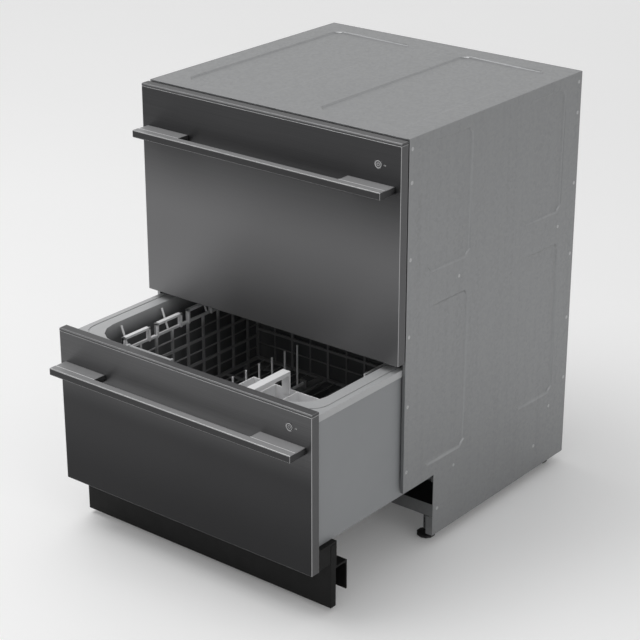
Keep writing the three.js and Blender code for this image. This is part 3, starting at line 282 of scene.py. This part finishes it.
def speckled(name, level, roughness):
    """Grey plastic pierced by a fine pattern of round holes, drawn as dark dots of painted shade."""
    made = moulded(name, level, roughness)
    hole_radius = 0.34  # as a share of the pattern's pitch
    hole_shade = made.math("LESS_THAN", made.cells(260.0, randomness=0.0)["Distance"], hole_radius)
    return made.blend_tone(hole_shade, level=28, tint=(0, 0, 0))


def lamp(name, level):
    """The clear lens of a small light that is off."""
    made = Shader(name, grey(level), roughness=0.2, Coat_Weight=0.5)
    made.tone(made.noise(600.0), amount=0.08)
    return made


# painted reflections: a panel's level at its top, then each drift down from there: its start, its end and
# its level
PANEL_PAINTED_REFLECTIONS = {
    "lower_front_skin": (97, ((0.06, 0.14, 64), (0.15, 0.29, 52))),
    "upper_front_skin": (70, ((0.055, 0.235, 118), (0.26, 0.40, 122))),
}


def panel_steel_with_painted_reflections(name):
    """Dark brushed steel with painted reflections: its tone drifts slowly down the panel, and is paler on
    its folded sides.
    """
    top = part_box(name)[1].z
    level, reflection_drifts = PANEL_PAINTED_REFLECTIONS[name]
    made = brushed(f"{name}_steel", level, roughness=0.40)
    for start, end, next_level in reflection_drifts:
        made.paint_shading_by_height(top - start, top - end, next_level)
    return made.paint_shading_by_tilt("X", start=0.6, end=0.9, level=100)


def rack_plastic_painted_shade(drawer):
    """The rack's pale plastic, greyer low down, as the photograph shows it in the bowl's shade."""
    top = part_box(f"{drawer}_rack")[1].z
    made = moulded(f"{drawer}_rack_plastic", level=238, roughness=0.38, tint=COOL)
    # painted shade: greyer from 26 mm to 70 mm under the rack's top
    return made.paint_shading_by_height(high=top - 26 * MM, low=top - 70 * MM, level=140)


# ---------- finishes ----------

RACK_SHADED_PLASTIC = {drawer: rack_plastic_painted_shade(drawer) for drawer in DRAWERS}
black_plastic = moulded("black_plastic", level=14, roughness=0.55, Specular_IOR_Level=0.2)
seal_rubber = moulded("seal_rubber", level=40, roughness=0.65, grain=900)
# a painted highlight along the top of each handle, where a post meets the bar
seam_highlight = brushed("seam_highlight", level=238, roughness=0.4, spread=0.0, metallic=0.3)
mark_chrome = brushed("mark_chrome", level=206, roughness=0.3, depth=0.000002, spread=0.0)
screw_zinc = brushed("screw_zinc", level=188, roughness=0.3, grain=(900, 900, 900), spread=0.0)
lamp_lens = lamp("lamp_lens", level=186)
handle_steel = brushed("handle_steel", level=56, roughness=0.45, metallic=0.55)
# painted light: the handle's upward-facing faces are drawn lighter than its front
handle_steel.paint_shading_by_tilt("Z", start=0.6, end=0.95, level=144)

BY_SLOT = {
    "black_plastic": black_plastic,
    "button_cap": brushed("button_cap", level=96, roughness=0.3, spread=0.0),
    "foot_rubber": moulded("foot_rubber", level=26, roughness=0.7, grain=700),
    "grey_plastic": moulded("grey_plastic", level=172, roughness=0.42, tint=COOLER),
    "handle_steel": handle_steel,
    "rack_plastic": moulded("rack_plastic", level=238, roughness=0.38, tint=COOL),
    "runner_steel": brushed("runner_steel", level=80, roughness=0.38, grain=(400, 5, 400), spread=0.0),
    "shell_paint": painted("shell_paint", level=134, roughness=0.4, tint=(-1, 1, 3)),
    "zinc_steel": galvanised("zinc_steel", level=148, roughness=0.42),
}
BY_KIND = {
    "filter_plate": speckled("filter_mesh", level=120, roughness=0.4),
    "top_cap": brushed("cap_finish", level=84, roughness=0.42, depth=0.000006, metallic=0.6),
}
# painted highlights on the rounded edges of each kind, with painted shade on their undersides
EDGE_PAINTED_HIGHLIGHT = {
    "front_skin": edge_painted_highlight("edge_steel_highlight", level=174, roughness=0.3),
    "handle": edge_painted_highlight("handle_edge_highlight", level=172, roughness=0.3),
    "top_cap": edge_painted_highlight("cap_edge_highlight", level=132, roughness=0.35),
}

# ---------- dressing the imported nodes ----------

slot_of = {part["node"]: part["material_slot"] for part in frame["record"]["subparts"]}
FACET_JOIN = 0.01 * MM
SHARP_ANGLE = 35
# the width of each kind's rounded edges in millimetres, and that of all others
ROUNDING = {
    "front_skin": 0.8, "top_cap": 0.5, "handle": 0.5, "tub": 1.4, "tub_shell": 0.4, "rack": 1.1,
    "cutlery_basket": 0.6, "cup_shelf": 1.0, "lid": 1.5, "kickstrip": 0.6, "kick_bracket": 0.9,
    "start_button": 0.8, "spray_arm": 1.5, "wash_motor": 1.5, "filter_plate": 0.8,
}
SMALL_ROUNDING = 0.3


def clean_group():
    """Joins the facets' corners, so that edges can be rounded and shaded."""
    group = bpy.data.node_groups.new("join_facets", "GeometryNodeTree")
    group.interface.new_socket("Geometry", in_out="INPUT", socket_type="NodeSocketGeometry")
    group.interface.new_socket("Geometry", in_out="OUTPUT", socket_type="NodeSocketGeometry")
    steps = [group.nodes.new("NodeGroupInput")]
    for attribute in ("custom_normal", "sharp_face", "sharp_edge"):
        drop = group.nodes.new("GeometryNodeRemoveAttribute")
        drop.inputs["Name"].default_value = attribute
        steps.append(drop)
    merge = group.nodes.new("GeometryNodeMergeByDistance")
    merge.inputs["Distance"].default_value = FACET_JOIN
    steps += [merge, group.nodes.new("GeometryNodeSetShadeSmooth"), group.nodes.new("NodeGroupOutput")]
    for before, after in zip(steps, steps[1:]):
        group.links.new(before.outputs[0], after.inputs[0])
    return group


JOIN_FACETS = clean_group()


def soften(obj, width):
    """Rounds an object's edges."""
    bevel = obj.modifiers.new("round", "BEVEL")
    bevel.width = width
    bevel.segments = 2
    return bevel


def rounded(obj, width, edge):
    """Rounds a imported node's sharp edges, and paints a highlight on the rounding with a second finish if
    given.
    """
    join = obj.modifiers.new("join", "NODES")
    join.node_group = JOIN_FACETS
    bevel = soften(obj, width)
    bevel.limit_method = "ANGLE"
    bevel.angle_limit = math.radians(SHARP_ANGLE)
    bevel.miter_outer = "MITER_ARC"
    # the painted edge highlight goes onto the bevel's faces
    if edge:
        obj.data.materials.append(edge.material)
        bevel.material = len(obj.data.materials) - 1
    obj.modifiers.new("normals", "WEIGHTED_NORMAL").keep_sharp = False


def finish_of(name, drawer, kind):
    """A node's own finish where it has one, or else that of its slot."""
    if kind == "front_skin":
        return panel_steel_with_painted_reflections(name)
    if kind == "tub":
        return tub_plastic_with_painted_shade(name)
    if kind == "rack":
        return RACK_SHADED_PLASTIC[drawer]
    return BY_KIND.get(kind) or BY_SLOT[slot_of[name]]


for name, node in nodes.items():
    drawer, _, rest = name.partition("_")
    kind = rest if drawer in DRAWERS else name
    node.data.materials.clear()
    node.data.materials.append(finish_of(name, drawer, kind).material)
    rounded(node, ROUNDING.get(kind, SMALL_ROUNDING) * MM, EDGE_PAINTED_HIGHLIGHT.get(kind))

# ---------- making pieces ----------


def piece(name, shape, finish, body):
    """Turns a bmesh into an object that rides on a body."""
    mesh = bpy.data.meshes.new(name)
    bmesh.ops.recalc_face_normals(shape, faces=shape.faces)
    shape.to_mesh(mesh)
    shape.free()
    mesh.materials.append(finish.material)
    obj = bpy.data.objects.new(name, mesh)
    bpy.context.scene.collection.objects.link(obj)
    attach(obj, body)
    return obj


def add_box(shape, low, high):
    """Adds a box between two corners."""
    middle = (Vector(low) + Vector(high)) / 2
    size = Vector(high) - Vector(low)
    for vert in bmesh.ops.create_cube(shape, size=1.0)["verts"]:
        vert.co = Vector(a * b for a, b in zip(vert.co, size)) + middle


def add_bar(shape, start, end, half):
    """Adds a square bar between two points that differ along one axis."""
    low = [a - half if a == b else a for a, b in zip(start, end)]
    high = [b + half if a == b else b for a, b in zip(start, end)]
    add_box(shape, low, high)


def add_band(shape, first, second):
    """Joins two rings of corners with a band of faces."""
    count = len(first)
    for k in range(count):
        after = (k + 1) % count
        shape.faces.new((first[k], first[after], second[after], second[k]))


def add_arc(shape, centre, radius, thick, depth, start, sweep, steps=28):
    """Adds a flat ring or arc that faces -Y, with its back at centre.y."""
    closed = abs(sweep) >= 360
    out = Vector((0, -depth, 0))
    sections = []
    for i in range(steps if closed else steps + 1):
        angle = math.radians(start + sweep * i / steps)
        across = Vector((math.sin(angle), 0, math.cos(angle)))
        inner = centre + across * (radius - thick / 2)
        outer = centre + across * (radius + thick / 2)
        sections.append([shape.verts.new(p) for p in (inner, outer, outer + out, inner + out)])
    for before, after in zip(sections, sections[1:]):
        add_band(shape, before, after)
    if closed:
        add_band(shape, sections[-1], sections[0])
    else:
        shape.faces.new(sections[0])
        shape.faces.new(reversed(sections[-1]))


# ---------- buttons, handle seam highlights and status lights ---

HANDLE_BAR_DEPTH = 15 * MM
HANDLE_POST_LENGTH = 100 * MM
LIGHT_OFFSET = 12 * MM
LIGHT_PITCH = 2.6 * MM


def button_marks(drawer):
    """The ring and the power sign on a start button."""
    low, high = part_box(f"{drawer}_start_button")
    centre = Vector(((low.x + high.x) / 2, low.y, (low.z + high.z) / 2))
    sign_depth = 0.2 * MM
    stroke_half, stroke_low, stroke_high = 0.4 * MM, 0.6 * MM, 3.6 * MM
    marks = bmesh.new()
    add_arc(marks, centre, radius=6.2 * MM, thick=1.0 * MM, depth=0.25 * MM, start=0, sweep=360, steps=40)
    add_arc(marks, centre, radius=2.7 * MM, thick=0.7 * MM, depth=sign_depth, start=35, sweep=290)
    add_box(marks, (centre.x - stroke_half, centre.y - sign_depth, centre.z + stroke_low),
            (centre.x + stroke_half, centre.y, centre.z + stroke_high))
    piece(f"{drawer}_power_mark", marks, mark_chrome, f"{drawer}_start_button")


def handle_seam_highlights(drawer):
    """A painted highlight: the fine bright line where each end post meets the back of the bar."""
    low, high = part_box(f"{drawer}_handle")
    bar_back = low.y + HANDLE_BAR_DEPTH
    half, rise, end_gap = 0.6 * MM, 0.2 * MM, 1 * MM
    highlights = bmesh.new()
    for side in (-1, 1):
        start, end = sorted((side * (high.x - HANDLE_POST_LENGTH), side * (high.x - end_gap)))
        add_box(highlights, (start, bar_back - half, high.z - rise), (end, bar_back + half, high.z + rise))
    piece(f"{drawer}_handle_seam_highlights", highlights, seam_highlight, f"{drawer}_drawer")


def status_lights(drawer):
    """The two small lenses beside a start button."""
    low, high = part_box(f"{drawer}_start_button")
    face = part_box(f"{drawer}_front_skin")[0].y
    x = (low.x + high.x) / 2 + LIGHT_OFFSET
    z = (low.z + high.z) / 2
    width, half_height, proud, sunk, chamfer = 1.1 * MM, 1.3 * MM, 0.15 * MM, 0.3 * MM, 0.12 * MM
    lights = bmesh.new()
    for shift in (0, LIGHT_PITCH):
        add_box(lights, (x + shift, face - proud, z - half_height),
                (x + shift + width, face + sunk, z + half_height))
    bmesh.ops.bevel(lights, geom=lights.edges[:], offset=chamfer, segments=1, affect="EDGES")
    piece(f"{drawer}_status_lights", lights, lamp_lens, f"{drawer}_drawer")


for drawer in DRAWERS:
    button_marks(drawer)
    handle_seam_highlights(drawer)
    status_lights(drawer)

# ---------- finer bars of the racks ----------

RACK_LEG = 31.7 * MM           # from the feet up to the rack's underside
RACK_HEIGHT = 150 * MM         # from there up to the notches between the merlons
RACK_END_DROP = 20 * MM        # how much lower the front and rear walls are
RACK_WALL = 4 * MM
RACK_BAR = 5 * MM
THIN_HALF = 1.3 * MM           # half the thickness of a thin bar
THIN_END = 2 * MM              # what a thin bar stays short of the rack's faces
LEFT_BARS = (25.8 * MM, 74.5 * MM, 123.2 * MM)
RIGHT_BARS = (41 * MM, 114 * MM)
END_BARS = (35 * MM, 95.5 * MM)
RIGHT_STEPS = 12               # every second of them has a main bar
END_STEPS = 10                 # and of these too
FLOOR_STEPS = 20
FLOOR_MAIN_EVERY = 4
FLOOR_BAR_RISE = 1.9 * MM
MERLON_START = 30 * MM
MERLON_LENGTH = 70 * MM
MERLON_PITCH = 88 * MM
MERLON_SHORTEST = 20 * MM
MERLON_TOP = 24.3 * MM         # over the notches
MERLON_POST = 4.6 * MM
MERLON_RAIL = 4.9 * MM
MERLON_PROUD = 0.4 * MM
MERLON_DEPTH = 8 * MM
NOTCH_RAIL = (-4.8 * MM, 0.3 * MM)
NOTCH_DEPTH = 6 * MM


def between_main_bars(start, end, steps):
    """The places half-way between the main bars of a wall."""
    pitch = (end - start - RACK_BAR) / steps
    return [start + RACK_BAR / 2 + i * pitch for i in range(1, steps, 2)]


def add_merlon_frames(bars, face, front, rear, notch):
    """A frame over each merlon of the left wall, and a rail along each notch behind it."""
    outer, inner = face - MERLON_PROUD, face + MERLON_DEPTH
    last = rear - RACK_BAR
    start = front + MERLON_START
    while start + MERLON_SHORTEST < last:
        end = min(start + MERLON_LENGTH, last)
        for y in (start, end - MERLON_POST):
            add_box(bars, (outer, y, notch - RACK_BAR), (inner, y + MERLON_POST, notch + MERLON_TOP))
        add_box(bars, (outer, start, notch + MERLON_TOP - MERLON_RAIL), (inner, end, notch + MERLON_TOP))
        add_box(bars, (outer, end, notch + NOTCH_RAIL[0]),
                (face + NOTCH_DEPTH, start + MERLON_PITCH, notch + NOTCH_RAIL[1]))
        start += MERLON_PITCH


def rack_bars(drawer):
    """Thin bars between the rack's main ones, in the middle of each wall's thickness."""
    low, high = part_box(f"{drawer}_rack")
    side, front, rear = high.x, low.y, high.y
    floor = low.z + RACK_LEG
    notch = floor + RACK_HEIGHT
    wall = side - RACK_WALL / 2
    ys = (front + THIN_END, rear - THIN_END)
    bars = bmesh.new()

    def bars_along(x, rise):
        add_bar(bars, (x, ys[0], floor + rise), (x, ys[1], floor + rise), THIN_HALF)

    def upright(x, y, top):
        add_bar(bars, (x, y, floor + THIN_END), (x, y, top - THIN_END), THIN_HALF)

    for rise in LEFT_BARS:
        bars_along(-wall, rise)
    add_merlon_frames(bars, -side, front, rear, notch)
    for rise in RIGHT_BARS:
        bars_along(wall, rise)
    for y in between_main_bars(front, rear, RIGHT_STEPS):
        upright(wall, y, notch)
    for y in (front + RACK_WALL / 2, rear - RACK_WALL / 2):
        for rise in END_BARS:
            z = floor + rise
            add_bar(bars, (-side + THIN_END, y, z), (side - THIN_END, y, z), THIN_HALF)
        for x in between_main_bars(-side, side, END_STEPS):
            upright(x, y, notch - RACK_END_DROP)
    pitch = 2 * (side - RACK_WALL) / FLOOR_STEPS
    for i in range(1, FLOOR_STEPS):
        if i % FLOOR_MAIN_EVERY:
            bars_along(-side + RACK_WALL + i * pitch, FLOOR_BAR_RISE)
    obj = piece(f"{drawer}_rack_bars", bars, RACK_SHADED_PLASTIC[drawer], f"{drawer}_drawer")
    soften(obj, 0.6 * MM)


for drawer in DRAWERS:
    rack_bars(drawer)

# ---------- screws, seals and threads ----------

SCREW_SIDES = 16
SCREW_SINK = 0.4 * MM          # how deep a head's skirt reaches into the sheet
HEAD_PROFILE = ((1.0, 0.35), (0.86, 0.8), (0.45, 1.0))  # shares of a head's radius and of its rise
RECESS_ARM, RECESS_HALF = 0.42, 0.1                     # shares of its radius
RECESS_TAPER, RECESS_BOTTOM = 0.8, 0.1
SIDE_SCREW = (3.6 * MM, 0.4 * MM)                       # a head's radius and rise
RUNNER_SCREW = (3.2 * MM, 0.4 * MM)
BACK_SCREW = (4 * MM, 2 * MM)
BACK_SCREW_SEAT = 1 * MM       # from the front of the back sheet
SHEET_EDGE = 9 * MM            # from a sheet's edge to its row of screws
SIDE_SCREW_HEIGHTS = (0.19, 0.32, 0.455, 0.60, 0.74, 0.80)
BASE_SCREW_HEIGHT = 0.075
BASE_SCREW_FRONT = 0.109       # from the side sheet's front edge
BASE_SCREW_REAR = 0.11         # from its rear edge
RUNNER_SCREW_HEIGHTS = (0.145, 0.525)
RUNNER_SCREW_BEHIND = 0.05     # behind the base's screws
BACK_SCREW_COLUMN = 0.289
BACK_SCREW_HEIGHTS = (0.045, 0.16, 0.29, 0.42, 0.55, 0.68, 0.80)
TOP_SCREW_PLACES = (-0.18, -0.06, 0.06, 0.18)
TOP_SCREW_HEIGHT = 0.81
SEAL_INSET = 12.5 * MM         # from the tub's edge to the middle of its groove
SEAL_CORNER = 38.5 * MM
SEAL_CORNER_STEPS = 8
# the seal's section in millimetres: outward from the groove's middle, and up from the lid's underside
SEAL_SECTION = ((-3.2, 0.3), (-3.2, -0.1), (-1.4, -0.15), (-0.9, -0.4), (0, -0.5), (0.9, -0.4),
                (1.4, -0.15), (3.2, -0.1), (3.2, 0.3))
HATCH_LEFT, HATCH_RIGHT = 0.075, 0.225
HATCH_RISE, HATCH_TOP = 0.02, 0.11
HATCH_TRIM_OUT, HATCH_TRIM_IN = 3.2 * MM, 1.4 * MM  # beyond the hatch's edge, and over its opening
HATCH_TRIM_DEPTH = (0.2 * MM, 2.6 * MM)
THREAD_START = 14 * MM         # from a foot's underside
THREAD_END = 1.5 * MM          # from its top
THREAD_PITCH = 1.75 * MM
THREAD_STEPS = 14
THREAD_ROOT = 4.7 * MM
THREAD_CREST = 5.6 * MM
THREAD_HALF = 0.7 * MM


def add_screw(shape, centre, outward, radius, proud):
    """A low domed head with a recess for a driver, on a surface that faces outward."""
    turn = Vector(outward).to_track_quat("Z", "Y").to_matrix().to_4x4()
    place = Matrix.Translation(Vector(centre)) @ turn

    def ring(outline, size, rise):
        return [shape.verts.new(place @ Vector((x * size, y * size, rise))) for x, y in outline]

    def rim_edges(corners):
        return [shape.edges.get(ends) for ends in zip(corners, corners[1:] + corners[:1])]

    angles = [math.tau * k / SCREW_SIDES for k in range(SCREW_SIDES)]
    circle = [(radius * math.cos(angle), radius * math.sin(angle)) for angle in angles]
    head = [ring(circle, 1.0, -SCREW_SINK)]
    head += [ring(circle, size, proud * rise) for size, rise in HEAD_PROFILE]
    for outer, inner in zip(head, head[1:]):
        add_band(shape, outer, inner)
    arm, half = radius * RECESS_ARM, radius * RECESS_HALF
    recess = [(arm, -half), (arm, half), (half, half), (half, arm), (-half, arm), (-half, half),
              (-arm, half), (-arm, -half), (-half, -half), (-half, -arm), (half, -arm), (half, -half)]
    mouth = ring(recess, 1.0, proud)
    bottom = ring(recess, RECESS_TAPER, proud * RECESS_BOTTOM)
    add_band(shape, mouth, bottom)
    shape.faces.new(bottom)
    bmesh.ops.triangle_fill(shape, edges=rim_edges(head[-1]) + rim_edges(mouth), use_beauty=True)
    shape.faces.new(reversed(head[0]))


def chassis_screws():
    """The screws that hold the chassis sheets together and carry the runners."""
    screws = bmesh.new()
    for side, name in ((-1, "chassis_side_left"), (1, "chassis_side_right")):
        low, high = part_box(name)
        face = high.x if side > 0 else low.x
        for y in (low.y + SHEET_EDGE, high.y - SHEET_EDGE):
            for z in SIDE_SCREW_HEIGHTS:
                add_screw(screws, (face, y, z), (side, 0, 0), *SIDE_SCREW)
        for y in (low.y + BASE_SCREW_FRONT, high.y - BASE_SCREW_REAR):
            add_screw(screws, (face, y, BASE_SCREW_HEIGHT), (side, 0, 0), *SIDE_SCREW)
            for z in RUNNER_SCREW_HEIGHTS:
                add_screw(screws, (face, y + RUNNER_SCREW_BEHIND, z), (side, 0, 0), *RUNNER_SCREW)
    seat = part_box("chassis_back")[0].y + BACK_SCREW_SEAT
    places = [(x, z) for x in (-BACK_SCREW_COLUMN, BACK_SCREW_COLUMN) for z in BACK_SCREW_HEIGHTS]
    places += [(x, TOP_SCREW_HEIGHT) for x in TOP_SCREW_PLACES]
    for x, z in places:
        add_screw(screws, (x, seat, z), (0, 1, 0), *BACK_SCREW)
    piece("chassis_screws", screws, screw_zinc, "chassis")


def lid_seal(drawer):
    """A soft ring under the lid, over the groove in the tub's rim when the drawer is shut."""
    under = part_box(f"{drawer}_lid")[0].z
    low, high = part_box(f"{drawer}_tub")
    left, right = low.x + SEAL_INSET + SEAL_CORNER, high.x - SEAL_INSET - SEAL_CORNER
    front = low.y + OPEN_AT_REST[drawer] + SEAL_INSET + SEAL_CORNER
    rear = high.y + OPEN_AT_REST[drawer] - SEAL_INSET - SEAL_CORNER
    ring = bmesh.new()
    sections = []
    for x, y, start in ((right, front, -90), (right, rear, 0), (left, rear, 90), (left, front, 180)):
        for i in range(SEAL_CORNER_STEPS + 1):
            angle = math.radians(start + 90 * i / SEAL_CORNER_STEPS)
            out = Vector((math.cos(angle), math.sin(angle), 0))
            centre = Vector((x, y, under)) + out * SEAL_CORNER
            sections.append([ring.verts.new(centre + out * a * MM + Vector((0, 0, b * MM)))
                             for a, b in SEAL_SECTION])
    for before, after in zip(sections, sections[1:] + sections[:1]):
        add_band(ring, before, after)
    piece(f"{drawer}_lid_seal", ring, seal_rubber, f"{drawer}_lid")


def hatch_trim():
    """A folded plastic edge round the service hatch, so that hoses don't chafe."""
    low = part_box("chassis_back")[0]
    bottom, top = low.z + HATCH_RISE, low.z + HATCH_TOP
    wide, lip = HATCH_TRIM_OUT, HATCH_TRIM_IN
    inner, outer = (low.y + depth for depth in HATCH_TRIM_DEPTH)
    trim = bmesh.new()
    for x0, z0, x1, z1 in (
            (HATCH_LEFT - wide, bottom - wide, HATCH_RIGHT + wide, bottom + lip),
            (HATCH_LEFT - wide, top - lip, HATCH_RIGHT + wide, top + wide),
            (HATCH_LEFT - wide, bottom + lip, HATCH_LEFT + lip, top - lip),
            (HATCH_RIGHT - lip, bottom + lip, HATCH_RIGHT + wide, top - lip)):
        add_box(trim, (x0, inner, z0), (x1, outer, z1))
    soften(piece("hatch_trim", trim, black_plastic, "chassis"), 0.5 * MM)


def foot_threads():
    """The screw thread on each levelling foot's stem."""
    threads = bmesh.new()
    section = ((THREAD_ROOT, -THREAD_HALF), (THREAD_CREST, 0), (THREAD_ROOT, THREAD_HALF))
    for foot in ("front_left", "front_right", "rear_left", "rear_right"):
        low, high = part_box(f"foot_{foot}")
        x, y = (low.x + high.x) / 2, (low.y + high.y) / 2
        start, end = low.z + THREAD_START, high.z - THREAD_END
        rows = []
        for i in range(int((end - start) / THREAD_PITCH * THREAD_STEPS) + 1):
            angle = math.tau * i / THREAD_STEPS
            across = Vector((math.cos(angle), math.sin(angle), 0))
            centre = Vector((x, y, start + THREAD_PITCH * i / THREAD_STEPS))
            rows.append([threads.verts.new(centre + across * r + Vector((0, 0, dz))) for r, dz in section])
        for before, after in zip(rows, rows[1:]):
            add_band(threads, before, after)
        threads.faces.new(rows[0])
        threads.faces.new(reversed(rows[-1]))
    piece("foot_threads", threads, screw_zinc, "chassis")


chassis_screws()
hatch_trim()
foot_threads()
for drawer in DRAWERS:
    lid_seal(drawer)

# ---------- floor, light and camera ----------

FLOOR_HALF = 14
FLOOR_GAP = 0.0002             # under the feet
NEAR, FAR = 1.0, 7.0           # between these distances the floor goes over into the background
NEAR_GLOW, FAR_GLOW = 0.09, 0.27
WORLD_LIGHT = 0.66             # the world's strength for light on the object
WORLD_SEEN = 0.98              # and where it is seen, mirrored or shown through something clear
AZIMUTH, ELEVATION = 41.30, 23.54
FOCAL_PIXELS = 2007.5          # of the photograph's fitted camera
AIM_RIGHT, AIM_UP = 85.5, 23.5  # from the photograph's centre to the machine's, in its pixels
CAMERA_PLACE = (2.0846, -2.5988, 1.7760)


def make_floor():
    """A pale floor that shows the machine's shadow and goes over into the background far off."""
    shape = bmesh.new()
    bmesh.ops.create_grid(shape, x_segments=1, y_segments=1, size=FLOOR_HALF)
    mesh = bpy.data.meshes.new("floor")
    shape.to_mesh(mesh)
    shape.free()
    floor = bpy.data.objects.new("floor", mesh)
    floor.location.z = -FLOOR_GAP
    bpy.context.scene.collection.objects.link(floor)
    made = Shader("floor", grey(244), roughness=0.6)
    made.tone(made.noise(0.8, detail=2), amount=0.008)
    made.bsdf.inputs["Emission Color"].default_value = grey(235)
    away = made.node("ShaderNodeVectorMath", operation="LENGTH")
    made.link(made.place(), away.inputs[0])
    glow = made.ramp(away.outputs["Value"], NEAR, FAR, NEAR_GLOW, FAR_GLOW, smooth=True)
    seen = made.node("ShaderNodeLightPath").outputs["Is Camera Ray"]
    made.link(made.math("MULTIPLY", glow, seen), made.bsdf.inputs["Emission Strength"])
    mesh.materials.append(made.material)


def look_at(obj, place, forward):
    """Puts a lamp or the camera in its place, looking along a direction."""
    bpy.context.scene.collection.objects.link(obj)
    obj.location = place
    obj.rotation_mode = "QUATERNION"
    obj.rotation_quaternion = forward.to_track_quat("-Z", "Y")


def area_light(name, place, target, size, power):
    """A square lamp that faces a point."""
    data = bpy.data.lights.new(name, "AREA")
    data.shape = "RECTANGLE"
    data.size = data.size_y = size
    data.energy = power
    look_at(bpy.data.objects.new(name, data), place, Vector(target) - Vector(place))


def make_world():
    """An even pale dome, which is seen and mirrored brighter than it lights."""
    world = bpy.data.worlds.new("studio")
    world.use_nodes = True
    tree = world.node_tree
    back = tree.nodes["Background"]
    back.inputs["Color"].default_value = grey(232)
    ray = tree.nodes.new("ShaderNodeLightPath")
    seen = ray.outputs["Is Camera Ray"]
    for kind in ("Is Glossy Ray", "Is Transmission Ray"):
        either = tree.nodes.new("ShaderNodeMath")
        either.operation = "MAXIMUM"
        tree.links.new(seen, either.inputs[0])
        tree.links.new(ray.outputs[kind], either.inputs[1])
        seen = either.outputs["Value"]
    strength = tree.nodes.new("ShaderNodeMapRange")
    strength.inputs["To Min"].default_value = WORLD_LIGHT
    strength.inputs["To Max"].default_value = WORLD_SEEN
    tree.links.new(seen, strength.inputs["Value"])
    tree.links.new(strength.outputs["Result"], back.inputs["Strength"])
    bpy.context.scene.world = world


def make_camera():
    """The photograph's direction, a little further out, so that the whole machine is in view."""
    azimuth, elevation = math.radians(AZIMUTH), math.radians(ELEVATION)
    forward = Vector((-math.sin(azimuth) * math.cos(elevation), math.cos(azimuth) * math.cos(elevation),
                      -math.sin(elevation)))
    right = Vector((math.cos(azimuth), math.sin(azimuth), 0))
    up = right.cross(forward)
    data = bpy.data.cameras.new("camera")
    data.sensor_width = 36
    data.lens = 107.0
    camera = bpy.data.objects.new("camera", data)
    aim = forward + right * (AIM_RIGHT / FOCAL_PIXELS) + up * (AIM_UP / FOCAL_PIXELS)
    look_at(camera, CAMERA_PLACE, aim)
    bpy.context.scene.camera = camera


make_floor()
make_world()
area_light("overhead", place=(-1.5, -1.0, 4.2), target=(0, -0.1, 0.4), size=3.2, power=88)
area_light("fill", place=(3.2, -1.2, 2.4), target=(0, 0, 0.4), size=2.2, power=14)
make_camera()

bpy.context.scene.view_settings.view_transform = "Standard"
